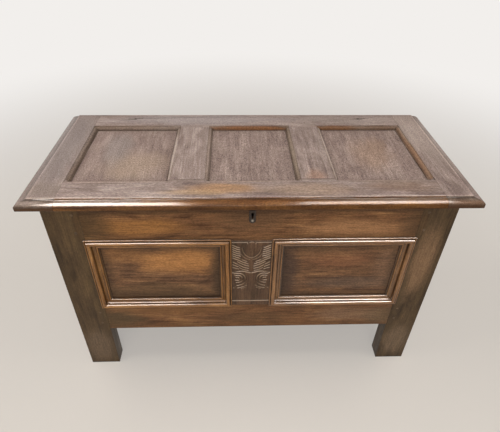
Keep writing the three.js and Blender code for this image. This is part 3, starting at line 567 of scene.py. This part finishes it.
def oakMaterial(name, toneName, grainAxis, node, seed, spots=(), edges=(), edgeShading=(), cut=False):
    # edges and the shading along them paint shade and highlights on a moulding; cut is for the carved face
    tone = oakTones[toneName]
    rough, coat, coatRough, specular = tone["finish"]
    material, tree = newMaterial(name)
    place = addNode(tree, "TexCoord").outputs["Object"]
    axes = addNode(tree, "SeparateXYZ", {0: place}).outputs
    patterns = oakPatterns(tree, place, grainAxis, seed)
    shade = grainShade(tree, patterns, tone)
    distances = []  # in mm from each of the given edges: (axis, place, direction inwards)
    for axis, where, inward in edges:
        settings = {"operation": "MULTIPLY_ADD", 0: axes[axis], 1: inward / mm, 2: -where * inward / mm}
        distances.append(addNode(tree, "Math", settings))
    onEnd = endShare(tree, distances) if len(distances) == 2 else None

    colour = woodColour(tree, tone, patterns, shade, axes[2], distances, onEnd)
    colour = stainedAndPaintedLight(tree, place, patterns["patch"], shade, colour, spots)
    # dirt at the ends and sides, and painted shade in the crevices
    colour = soiledAndShaded(tree, place, node, tone, patterns, shade, colour)
    if edges:
        nearest = addNode(tree, "Math", {"operation": "MINIMUM", 0: distances[0], 1: distances[-1]})
        # painted shade and highlight along the moulding
        level = paintedEdgeShading(tree, nearest, edgeShading, onEnd)
        colour = addNode(tree, "Mix", {**multiplied, 6: colour, 7: level}).outputs[2]
    if edges and "flatCoat" in tone:
        coat = polishedCoat(tree, axes[0], nearest, coat, tone["flatCoat"])
    elif "flatCoat" in tone:
        coat = tone["flatCoat"]
    if cut:
        # painted highlight and shade on the cuts' walls
        colour = cutLightAndShade(tree, tone, colour)

    g = oakGrain
    settings = {1: g["patchFrom"], 2: g["patchTo"], 3: rough + g["roughFrom"], 4: rough + g["roughTo"]}
    roughness = addNode(tree, "MapRange", {0: patterns["patch"], **settings})
    settings = {
        "Base Color": colour,
        "Roughness": roughness,
        "IOR": g["ior"],
        "Specular IOR Level": specular,
        "Coat Weight": coat,
        "Coat Roughness": coatRough,
        "Normal": planedRelief(tree, patterns, shade),
    }
    addNode(tree, "OutputMaterial", {"Surface": addNode(tree, "BsdfPrincipled", settings)})
    return material


# Forged iron under a brown patina: hammered, dull, with blotches of rust

iron = {
    "base": "#28221e",
    "rust": "#3b2e24",
    "rustSize": 6.25 * mm,
    "rustDetail": 4,
    "rustStops": (0.4, 0.65),  # where on the noise base and rust lie
    "worn": "#a79d8f",
    "wornPlace": (0, -251, 676),  # below the keyhole, in mm, where the key has polished the plate
    "wornRadii": (5, 8, 6),
    "hammerSize": 1 / 240,  # m, from one hammer mark to the next
    "hammerHeight": 0.2 * mm,
    "hammerStrength": 0.4,
    "metallic": 0.45,  # what the patina leaves bare
    "roughness": 0.5,
}


def ironMaterial(name):
    material, tree = newMaterial(name)
    place = addNode(tree, "TexCoord").outputs["Object"]
    settings = {"Vector": place, "Scale": 1 / iron["rustSize"], "Detail": iron["rustDetail"]}
    blotches = addNode(tree, "TexNoise", settings)
    stops = [*zip(iron["rustStops"], (iron["base"], iron["rust"]))]
    patina = addNode(tree, "ValToRGB", {0: blotches, "stops": stops})
    rubbed = softBall(tree, place, iron["wornPlace"], iron["wornRadii"])
    settings = {**mixed, 0: rubbed, 6: patina, 7: hexToLinear(iron["worn"])}
    colour = addNode(tree, "Mix", settings).outputs[2]
    marks = addNode(tree, "TexVoronoi", {"Vector": place, "Scale": 1 / iron["hammerSize"]})
    settings = {"Strength": iron["hammerStrength"], "Distance": iron["hammerHeight"]}
    bump = addNode(tree, "Bump", {"Height": marks, **settings})
    settings = {"Base Color": colour, "Metallic": iron["metallic"], "Roughness": iron["roughness"]}
    metal = addNode(tree, "BsdfPrincipled", {"Normal": bump, **settings})
    addNode(tree, "OutputMaterial", {"Surface": metal})
    return material


# Wooden members: a copy of each with its arrises worn round

grainX, grainY, grainZ = 0, 1, 2
kinds = [
    # tone, grain axis, arris radius in mm, pieces
    ("post", grainZ, 1.6, ["front_left_post", "front_right_post", "back_left_post", "back_right_post"]),
    ("rail", grainX, 0.6, ["front_top_rail"]),
    ("rail", grainX, 1.2, ["front_bottom_rail"]),
    ("panel", grainX, 0, ["front_left_panel", "front_right_panel"]),
    ("lidSide", grainY, 1.1, ["lid_left_stile", "lid_right_stile"]),
    ("lid", grainX, 1.1, ["lid_front_rail"]),
    ("lidSide", grainX, 1.1, ["lid_back_rail"]),
    ("lidSide", grainY, 1.1, ["lid_left_muntin", "lid_right_muntin"]),
    ("lidPanel", grainY, 0, ["lid_left_panel", "lid_centre_panel", "lid_right_panel"]),
    ("back", grainX, 1.2, ["back_top_rail", "back_bottom_rail"]),
    ("back", grainZ, 1.2, ["back_muntin_1", "back_muntin_2"]),
    ("back", grainZ, 0, ["back_left_panel", "back_centre_panel", "back_right_panel"]),
]
members = {node: kind[:3] for kind in kinds for node in kind[3]}
for side in ("left", "right"):
    members[f"{side}_end_top_rail"] = ("rail", grainY, 1.2)
    members[f"{side}_end_bottom_rail"] = ("rail", grainY, 1.2)
    members[f"{side}_end_panel"] = ("panel", grainY, 0)
for node in nodes:
    if node.startswith("floor_"):
        members[node] = ("bare", grainX if "batten" in node else grainY, 0.8)

spots = {
    # node: worn or dark places, and places of painted shadow, sheen or highlight, as centre x, y, z and
    # radii x, y, z in mm, colour and share
    "front_left_panel": [
        (-215, -240, 510, 190, 60, 75, "#ae7946", 0.85),
        (-400, -240, 540, 100, 60, 50, "#8e6239", 0.6),
        (-290, -240, 375, 260, 60, 50, "#54402a", 0.6),
        (-105, -240, 440, 34, 60, 190, "#463624", 0.6),
    ],
    "front_right_panel": [
        (270, -240, 505, 150, 60, 45, "#82573a", 0.7),
        (110, -240, 450, 60, 60, 190, "#42322a", 0.75),
        (330, -240, 405, 240, 60, 40, "#5a4a3f", 0.6),
        (430, -240, 470, 60, 60, 120, "#775a44", 0.6),
    ],
    "front_top_rail": [
        (-330, -249, 655, 180, 60, 44, "#9b6a38", 0.75),
        (0, -249, 680, 150, 60, 70, "#65482f", 0.7),
        (300, -249, 645, 230, 60, 40, "#9c714c", 0.8),
        (-480, -249, 670, 110, 60, 90, "#4b3720", 0.8),
        (480, -249, 670, 70, 60, 90, "#513a24", 0.7),
        # painted shadow: the lid's shade along the rail's top
        (0, -249, 713, 1400, 60, 20, "#3f2a18", 0.7),
    ],
    "front_bottom_rail": [
        (-250, -249, 290, 200, 60, 26, "#805934", 0.6),
        (-450, -249, 250, 130, 60, 60, "#514029", 0.8),
        (460, -249, 250, 110, 60, 60, "#66523b", 0.8),
        (0, -249, 250, 200, 60, 40, "#594028", 0.6),
        (330, -249, 260, 150, 60, 50, "#80634b", 0.7),
    ],
    "lid_front_rail": [
        # these two: painted sheen, grey on the upper part of the thumbnail moulding
        (-430, -262, 755, 280, 14, 6, "#98867a", 0.85),
        (360, -262, 755, 260, 14, 6, "#7d6b5d", 0.75),
        (-90, -205, 758, 150, 34, 30, "#9e7a5a", 0.75),
        (150, -215, 758, 180, 40, 30, "#98806c", 0.6),
        (-150, -225, 758, 130, 20, 30, "#a98a66", 0.5),
        # these three: painted highlight, a light line along the rail's inner arris
        (-390, -171, 758, 190, 5, 10, "#b49d8e", 0.8),
        (0, -171, 758, 180, 5, 10, "#a8907f", 0.7),
        (390, -171, 758, 190, 5, 10, "#a08a7b", 0.7),
        (420, -200, 758, 150, 40, 30, "#7b6353", 0.6),
        (0, -160, 747, 1200, 10, 9.5, "#4a3628", 0.9),
    ],
    "lid_back_rail": [
        (-385, 181, 750, 220, 14, 14, "#77655a", 0.6),
        (0, 181, 750, 190, 14, 14, "#754f34", 0.95),
        (300, 181, 750, 130, 14, 14, "#6d4a30", 0.9),
        (470, 181, 750, 110, 14, 14, "#664f3f", 0.8),
        (405, 240, 758, 28, 8, 10, "#1d1814", 0.95),
        (-405, 240, 758, 26, 10, 10, "#4a4038", 0.3),
        # these two: painted sheen, grey on the back rail's top
        (-200, 235, 758, 450, 60, 30, "#938884", 0.7),
        (350, 235, 758, 300, 60, 30, "#8d8078", 0.5),
    ],
    "lid_right_panel": [(400, 10, 745, 90, 150, 30, "#8f7561", 0.5)],
    "lid_left_panel": [
        (-360, -60, 745, 130, 120, 30, "#968270", 0.6),
        (-430, 60, 745, 60, 150, 30, "#847973", 0.6),
    ],
    "lid_left_muntin": [
        # these two: painted highlights, light lines along the muntin's ovolos
        (-242, 0, 750, 9, 280, 20, "#b9a89d", 0.9),
        (-131, 0, 752, 9, 280, 20, "#98867b", 0.8),
    ],
    "lid_right_muntin": [
        (190, -150, 758, 40, 60, 30, "#92705c", 0.5),
        # these two: painted highlights, light lines along the muntin's ovolos
        (250, 0, 752, 8, 280, 20, "#b8a79b", 0.9),
        (138, 0, 752, 9, 280, 20, "#907f70", 0.8),
    ],
    "lid_left_stile": [
        # these three: painted sheen, grey on the stile's top and on its thumbnail moulding
        (-590, 60, 758, 90, 400, 30, "#7b706b", 0.8),
        (-575, -215, 758, 90, 60, 30, "#7a6c63", 0.8),
        (-610, -266, 753, 60, 12, 7, "#98867a", 0.8),
        (-575, -276, 737, 150, 14, 12, "#5b3c20", 0.9),
    ],
    "lid_right_stile": [
        # painted sheen: grey on the stile's top
        (590, 100, 758, 80, 300, 30, "#94857b", 0.6),
        (531, 0, 752, 10, 280, 20, "#8f6e57", 0.8),
        (585, -270, 747, 110, 12, 12, "#7a5a42", 0.7),
        (575, -276, 737, 150, 14, 12, "#5d3f28", 0.9),
    ],
    "front_right_post": [
        (535, -249, 500, 50, 60, 200, "#84664a", 0.8),
        (540, -249, 110, 70, 60, 110, "#745f49", 0.7),
        (492, -249, 660, 22, 60, 80, "#604428", 0.5),
    ],
    "front_left_post": [
        (-540, -249, 100, 80, 60, 120, "#6a5744", 0.7),
        (-492, -249, 660, 22, 60, 80, "#604428", 0.5),
    ],
}
wear = {
    "jointArris": 0.25,  # mm, on the lid's edges that aren't moulded, so that its joints stay tight
    "sharpFrom": 40,  # degrees between two faces, from which their edge is worn round
    "smoothBelow": 50,  # degrees
    "segments": 2,
    "hingeRoom": 5 * mm,  # nothing is worn this near a hinge staple, so that its slot keeps its shape
    "onEdge": 0.1 * mm,  # how near the moulded edge or its step an edge has to lie to be part of it
}
merging = {
    "within": 0.002 * mm,  # how near two points are that become one
    "flatWithin": 0.5,  # degrees between two faces that become one
    "facing": 0.9,  # share of a face's normal along a direction, from which the face looks that way
}
frontEdge = (1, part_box("lid_front_rail")[0].y, 1)  # axis, place and direction inwards
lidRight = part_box("lid_right_stile")[1].x
lidEdges = {
    # the moulded edges of each piece, in the same form
    "lid_front_rail": [frontEdge],
    "lid_left_stile": [frontEdge, (0, -lidRight, 1)],
    "lid_right_stile": [frontEdge, (0, lidRight, -1)],
}

# which way each part's inner faces look; they are bare, unwaxed oak, and so is the carcass's top
inwards = {
    "front": (0, 1, 0), "back": (0, -1, 0), "left_end": (1, 0, 0), "right_end": (-1, 0, 0), "lid": (0, 0, -1),
}
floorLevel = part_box("front_bottom_rail")[0].z
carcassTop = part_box("front_top_rail")[1].z


def mergedMesh(node, name):
    # the node's loose triangles as one mesh, its flat faces whole again; bare faces get material 1
    shape = bmesh.new()
    shape.from_mesh(nodes[node].data)
    bmesh.ops.remove_doubles(shape, verts=shape.verts, dist=merging["within"])
    flat = math.radians(merging["flatWithin"])
    bmesh.ops.dissolve_limit(shape, angle_limit=flat, verts=shape.verts, edges=shape.edges)
    if node.endswith("post"):
        geometry = list(shape.verts) + list(shape.edges) + list(shape.faces)
        bmesh.ops.bisect_plane(shape, geom=geometry, plane_co=(0, 0, floorLevel), plane_no=(0, 0, 1))
    for start, direction in inwards.items():
        if node.startswith(start):
            ways = [Vector(direction)]
            if node.endswith("post"):
                ways.append(Vector((1 if "left" in node else -1, 0, 0)))
            for face in shape.faces:
                height = face.calc_center_median().z
                onTop = start != "lid" and face.normal.z > merging["facing"] and height > carcassTop - mm
                inside = height > floorLevel and max(w.dot(face.normal) for w in ways) > merging["facing"]
                if onTop or inside:
                    face.material_index = 1
    mesh = bpy.data.meshes.new(name)
    shape.to_mesh(mesh)
    shape.free()
    return mesh


hingeBoxes = [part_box(f"{side}_hinge_lid_staple") for side in ("left", "right")]


def besideHinge(point):
    room = wear["hingeRoom"]
    return any(
        low.x - room < point.x < high.x + room and low.y - room < point.y < high.y + room
        for low, high in hingeBoxes
    )


# in mm, round the bar of each hinge's carcass staple: its wire, how far along and how far out from its middle
# the points of the lid's groove lie, and how much further out they go
groove = {"wireRadius": 2, "halfLength": 12, "within": 5.6, "gain": 0.6}


def openGrooves(mesh, g):
    # the lid's grooves for those bars are opened, so that the staples' legs clear the lid when it is raised
    for side in ("left", "right"):
        low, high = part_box(f"{side}_hinge_carcass_staple")
        radius = g["wireRadius"] * mm
        axis = Vector(((low.x + high.x) / 2, high.y - radius, high.z - radius))
        for vertex in mesh.vertices:
            away = vertex.co - axis
            reach = math.hypot(away.y, away.z)
            if abs(away.x) < g["halfLength"] * mm and reach < g["within"] * mm:
                vertex.co.yz = axis.yz + away.yz * (1 + g["gain"] * mm / reach)


def weighEdges(mesh, jointWeight):
    # how far each sharp edge is worn: fully on the lid's moulded edge, and by jointWeight elsewhere
    shape = bmesh.new()
    shape.from_mesh(mesh)
    weight = shape.edges.layers.float.new("bevel_weight_edge")
    for edge in shape.edges:
        if len(edge.link_faces) != 2 or edge.calc_face_angle() < math.radians(wear["sharpFrom"]):
            continue
        if jointWeight < 1 and any(besideHinge(vertex.co) for vertex in edge.verts):
            continue
        middle = (edge.verts[0].co + edge.verts[1].co) / 2
        outside = min(middle.y - frontEdge[1], middle.x + lidRight, lidRight - middle.x)
        onMoulding = outside < wear["onEdge"] or abs(outside - lidStep * mm) < wear["onEdge"]
        edge[weight] = 1 if onMoulding else jointWeight
    shape.to_mesh(mesh)
    shape.free()


def softenedMember(node, tone, grainAxis, arris, seed):
    piece = newObject(node + "_worn", mergedMesh(node, node + "_worn"))
    if node == "lid_back_rail":
        openGrooves(piece.data, groove)
    places, edges = spots.get(node, ()), lidEdges.get(node, ())
    waxed = oakMaterial(f"waxed_oak_{node}", tone, grainAxis, node, seed, places, edges, lidEdgeLightAndShade)
    piece.data.materials.append(waxed)
    if any(p.material_index for p in piece.data.polygons):
        piece.data.materials.append(oakMaterial(f"bare_oak_{node}", "bare", grainAxis, node, seed))
    piece.data.shade_smooth()
    if arris:
        bevel = piece.modifiers.new("arris", "BEVEL")
        bevel.width = arris * mm
        bevel.segments = wear["segments"]
        bevel.limit_method = "WEIGHT"
        bevel.use_clamp_overlap = False
        weighEdges(piece.data, wear["jointArris"] / arris if node.startswith("lid_") else 1)
    piece.data.set_sharp_from_angle(angle=math.radians(wear["smoothBelow"]))
    takePlace(piece, node)


for seed, (node, (tone, grainAxis, arris)) in enumerate(members.items(), 1):
    softenedMember(node, tone, grainAxis, arris, seed)
print(f"{len(members)} oak members softened")


# Mouldings round the front panels, planed by hand: bead, quirk, half round, quirk, cove, bead and ledge

moulding = {
    # all in mm: u is the distance inwards from the outer edge, v is how far it stands out from the frame
    "profile": [
        # points (u, v), and arcs as centre u, v, radius u, v, start and end in degrees, number of points
        (0, 0.3),
        (2.5, 1.5, 2.5, 2.5, 180, 0, 13),  # bead
        (5.4, 0.2), (6.1, 0.2),  # quirk
        (13, 3.5, 6.5, 6.5, 180, 0, 21),  # half round
        (19.7, 0.2), (20.5, 0.2), (21, 1),  # quirk
        (30, 1, 9, 7, 183, 268, 11),  # cove
        (32.5, -6, 2.4, 2.4, 180, 0, 11),  # inner bead
        (35.2, -8), (39, -8), (39, -10.7), (7.3, -10.7), (7.3, 0.3),  # ledge, back and lap on the frame
    ],
    "mitreGap": 0.15,
    "stations": 90,
    "waver": 0.22,  # how far the plane wandered, over waves of these lengths
    "waves": (17, 29, 53, 110),
    "waverAbove": 0.3, "waverFull": 3,  # how far out from the frame it starts and shows fully
    "smoothBelow": 40,  # degrees
    "firstSeed": 80,
}


def mouldingProfile(m):  # an arc is u + ru cos a, v + rv sin a
    line = []
    for u, v, *arc in m["profile"]:
        if arc:
            radiusU, radiusV, start, end, count = arc
            angle = np.radians(np.linspace(start, end, count))
            line.append(np.stack([u + radiusU * np.cos(angle), v + radiusV * np.sin(angle)], -1))
        else:
            line.append([[u, v]])
    return np.concatenate(line) * mm


def mouldingBar(side, bar, m, seed):
    # the profile carried along one side of the frame and mitred: what lies u in from the outer edge starts
    # u in from one corner and ends u in from the other
    node = f"{side}_moulding_{bar}"
    x0, x1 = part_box(f"{side}_moulding_left")[0].x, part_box(f"{side}_moulding_right")[1].x
    z0, z1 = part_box(f"{side}_moulding_bottom")[0].z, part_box(f"{side}_moulding_top")[1].z
    level = bar in ("bottom", "top")
    first, last = (x0, x1) if level else (z0, z1)
    u, v = mouldingProfile(m).T
    t = np.linspace(0, 1, m["stations"])[:, None]
    start = first + u + m["mitreGap"] * mm
    end = last - u - m["mitreGap"] * mm
    run = start + (end - start) * t
    wander = sum(np.sin(run / (k * mm) + seed * k) for k in m["waves"]) / len(m["waves"]) * m["waver"] * mm
    out = v + np.where(v > m["waverAbove"] * mm, wander * np.clip(v / (m["waverFull"] * mm), 0, 1), 0)
    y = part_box("front_top_rail")[0].y - out
    # the outer edge: axis, place and direction inwards
    outer = {"bottom": (2, z0, 1), "top": (2, z1, -1), "left": (0, x0, 1), "right": (0, x1, -1)}[bar]
    across = outer[1] + outer[2] * u + 0 * t
    points = np.stack([run, y, across] if level else [across, y, run], -1)
    mesh = meshFromGrid(node + "_planed", points, closed=True)
    piece = newObject(node + "_planed", mesh)
    grainAxis = grainX if level else grainZ
    name = f"waxed_oak_{node}"
    mesh.materials.append(oakMaterial(name, side + "Moulding", grainAxis, node, seed, (), [outer], barLightAndShade))
    mesh.shade_smooth()
    mesh.set_sharp_from_angle(angle=math.radians(m["smoothBelow"]))
    takePlace(piece, node)


bars = [(side, bar) for side in ("left", "right") for bar in ("bottom", "left", "top", "right")]
for seed, (side, bar) in enumerate(bars, moulding["firstSeed"]):
    mouldingBar(side, bar, moulding, seed)
print("mouldings planed")


# Carved muntin: gouge cuts sunk in its face, the same on both sides of its middle

muntin = {
    "step": 0.8 * mm,  # spacing of the carved surface's points
    "cutWidth": 6.4 * mm,
    "cutDepth": 2.4 * mm,
    "rim": 2 * mm,  # how far in from the face's edges the cuts are at full depth
    "fullSlope": 1.5,  # steepness of a cut's wall at which its painted highlight or shade is full
    "sideShare": 0.5,  # how much of that a wall that looks sideways gets
    "linePoints": 24, "smoothings": 3,  # of each cut's middle line
    "smoothBelow": 60,  # degrees
    "seed": 61,
    # cuts in mm on the right of the middle, as points of x and z, then a width share and a depth share
    "cuts": [
        ([(11, 593), (34, 593), (58, 593)], 0.6, 0.8),
        ([(0, 595), (8, 593), (12, 588)], 0.7, 0.8),
        ([(0, 532), (8, 534), (17, 542), (24, 554), (27, 570)], 0.9, 0.6),
        ([(4, 524), (15, 527), (25, 536), (32, 549), (34, 566)], 0.7, 0.45),
        ([(14, 516), (28, 523), (42, 533)], 0.9, 0.9),
        ([(10, 506), (26, 513), (45, 525)], 0.95, 1),
        ([(8, 496), (23, 502), (41, 514)], 0.95, 1),
        ([(43, 505), (55, 513)], 0.9, 0.9),
        ([(8, 486), (22, 490), (38, 501)], 0.9, 0.9),
        ([(41, 494), (56, 502)], 0.9, 0.9),
        ([(9, 477), (22, 480), (36, 489)], 0.8, 0.8),
        ([(39, 484), (56, 490)], 0.9, 0.8),
        ([(3, 467), (13, 470), (24, 474), (38, 474), (57, 467)], 1.1, 1.1),
        ([(52, 463), (40, 465), (28, 463), (18, 452), (15, 438), (19, 424), (31, 413), (44, 409)], 1, 1.1),
        ([(50, 454), (40, 456), (31, 453), (25, 444), (26, 433), (34, 425), (46, 423)], 0.9, 1),
        ([(47, 446), (38, 446), (34, 439), (40, 433), (49, 434)], 0.85, 0.95),
        ([(14, 411), (25, 403), (42, 398)], 1, 1),
        ([(48, 404), (55, 398)], 0.8, 0.8),
        ([(18, 400), (30, 394)], 0.8, 0.7),
        ([(0, 335), (30, 335.5), (62, 336)], 0.9, 1.1),
    ],
    # a row of short cuts down the side, each this much lower and nearer the middle than the last
    "ticks": 7, "tickDrop": 8.6, "tickShift": 0.8,
}
for i in range(muntin["ticks"]):
    drop = muntin["tickDrop"] * i
    tick = [(37 - muntin["tickShift"] * i, 573 - drop), (45, 576 - drop), (56, 582 - drop)]
    muntin["cuts"].append((tick, 0.95, 1))


def smoothLine(points, mirror, m):  # a curve through the given points, evenly spaced by length
    points = np.array(points, float) * [mirror, 1] * mm
    lengths = np.concatenate([[0], np.cumsum(np.hypot(*np.diff(points, axis=0).T))])
    t = np.linspace(0, lengths[-1], m["linePoints"])
    line = np.stack([np.interp(t, lengths, points[:, i]) for i in (0, 1)], -1)
    for _ in range(m["smoothings"] if len(points) > 2 else 0):
        line[1:-1] = (line[:-2] + 2 * line[1:-1] + line[2:]) / 4
    return line


def carvedDepth(x, z, m):
    # depth below the face: each cut is a groove, 1 - (distance / half width)^2, and cuts don't add up.
    # looksDown: how steeply a wall looks down, for painted shade; below 0 it looks up, for a painted
    # highlight
    depth = np.zeros_like(x)
    for points, widthShare, depthShare in m["cuts"]:
        for mirror in (-1, 1):
            line = smoothLine(points, mirror, m)
            run = line[1:] - line[:-1]
            px = x[..., None] - line[:-1, 0]
            pz = z[..., None] - line[:-1, 1]
            along = np.clip((px * run[:, 0] + pz * run[:, 1]) / ((run ** 2).sum(-1) + 1e-12), 0, 1)
            distance = np.hypot(px - along * run[:, 0], pz - along * run[:, 1]).min(-1)
            half = widthShare * m["cutWidth"] / 2
            depth = np.maximum(depth, np.clip(1 - (distance / half) ** 2, 0, 1) * m["cutDepth"] * depthShare)
    slopeUp, slopeAcross = np.gradient(depth, z[1, 0] - z[0, 0], x[0, 1] - x[0, 0])
    looksDown = -slopeUp + m["sideShare"] * slopeAcross * np.sign(x)
    return depth, np.clip(looksDown / m["fullSlope"], -1, 1)


def carvedFace(xs, zs, face, m):
    # the muntin's front as a grid of points, each pushed back by the depth of the cuts, which fade at the rim
    columns = int((xs[-1] - xs[0]) / m["step"])
    rows = int((zs[-1] - zs[0]) / m["step"])
    x, z = np.meshgrid(np.linspace(xs[0], xs[-1], columns + 1), np.linspace(zs[0], zs[-1], rows + 1))
    inside = np.minimum.reduce([x - xs[0], xs[-1] - x, z - zs[0], zs[-1] - z])
    depth, gouged = carvedDepth(x - (xs[0] + xs[-1]) / 2, z, m)
    depth = depth * np.clip(inside / m["rim"], 0, 1)
    surface = meshFromGrid("muntin_face", np.stack([x, face + depth, z], axis=-1))
    # each wall's painted light and shade, by which way it looks
    surface.attributes.new("gouged", "FLOAT", "POINT").data.foreach_set("value", gouged.ravel())
    return surface, rows, columns


def carvedMuntin(m):
    # the muntin with its front taken out, its rim cut to the grid's points, and the carved face joined on
    node = "front_muntin"
    near = 0.1 * mm
    shape = bmesh.new()
    shape.from_mesh(mergedMesh(node, "muntin_blank"))
    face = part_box(node)[0].y
    fronts = [f for f in shape.faces if abs(f.calc_center_median().y - face) < near]
    front = max(fronts, key=lambda f: -f.normal.y * f.calc_area())
    xs = sorted({round(v.co.x, 6) for v in front.verts})
    zs = sorted({round(v.co.z, 6) for v in front.verts})
    surface, rows, columns = carvedFace(xs, zs, face, m)
    border = list(front.edges)
    bmesh.ops.delete(shape, geom=[front], context="FACES_ONLY")
    for vertical, count in ((True, rows), (False, columns)):
        edges = [e for e in border if (abs(e.verts[0].co.x - e.verts[1].co.x) < near / 10) == vertical]
        bmesh.ops.subdivide_edges(shape, edges=edges, cuts=count - 1)
    blank = bpy.data.meshes.new("muntin_blank_open")
    shape.to_mesh(blank)
    shape.free()

    joined = bmesh.new()
    joined.from_mesh(surface)
    joined.from_mesh(blank)
    bmesh.ops.remove_doubles(joined, verts=joined.verts, dist=near / 5)
    mesh = bpy.data.meshes.new("front_muntin_carved")
    joined.to_mesh(mesh)
    joined.free()
    piece = newObject("front_muntin_carved", mesh)
    mesh.materials.append(oakMaterial("waxed_oak_carved_muntin", "carved", grainZ, node, m["seed"], cut=True))
    mesh.materials.append(oakMaterial("bare_oak_muntin", "bare", grainZ, node, m["seed"]))
    mesh.shade_smooth()
    mesh.set_sharp_from_angle(angle=math.radians(m["smoothBelow"]))
    takePlace(piece, node)


carvedMuntin(muntin)
print("muntin carved")


# Iron fittings

for node in nodes:
    if slotOf[node] == "iron":
        nodes[node].data.materials.clear()
        nodes[node].data.materials.append(ironMaterial(f"forged_iron_{node}"))
print("iron finished")


# Oak pegs through the joints of the front

pegs = {
    "radius": 4.6 * mm,
    "proud": 0.5 * mm,
    "sunk": 6 * mm,
    "sides": 20,
    "outOfRound": 0.05, "lobes": 3,
    "seed": 77,
    # from the buried end to the domed end: share of the radius, share of sunk and share of proud
    "rings": [(0.98, 1, 0), (0.98, 0, 0), (0.9, 0, 0.7), (0.55, 0, 1), (0.02, 0, 1.02)],
    "places": [  # x and z on the front's face
        (-0.5076, 0.6325), (-0.506, 0.699), (-0.507, 0.2325), (-0.505, 0.286),
        (0.507, 0.634), (0.5055, 0.7), (0.5065, 0.2335), (0.508, 0.2845),
    ],
}


def addPegs(p):
    # slightly out-of-round pegs: radius r(1 + k cos(lobes a + number)), drawn in over the dome
    pegOak = oakMaterial("waxed_oak_pegs", "peg", grainY, "front_left_post", p["seed"])
    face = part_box("front_left_post")[0].y
    shares, sunkShares, proudShares = (column[:, None] for column in np.array(p["rings"]).T)
    angle = np.linspace(0, 2 * math.pi, p["sides"] + 1)[:-1]
    y = face + sunkShares * p["sunk"] - proudShares * p["proud"] + 0 * angle
    for number, (x, z) in enumerate(p["places"], 1):
        reach = shares * p["radius"] * (1 + p["outOfRound"] * np.cos(p["lobes"] * angle + number))
        points = np.stack([x + reach * np.cos(angle), y, z + reach * np.sin(angle)], -1)
        mesh = meshFromGrid(f"peg_{number}", points, closed=True)
        piece = newObject(f"peg_{number}", mesh)
        mesh.materials.append(pegOak)
        mesh.shade_smooth()
        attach(piece, "root")


addPegs(pegs)
print("pegs set")
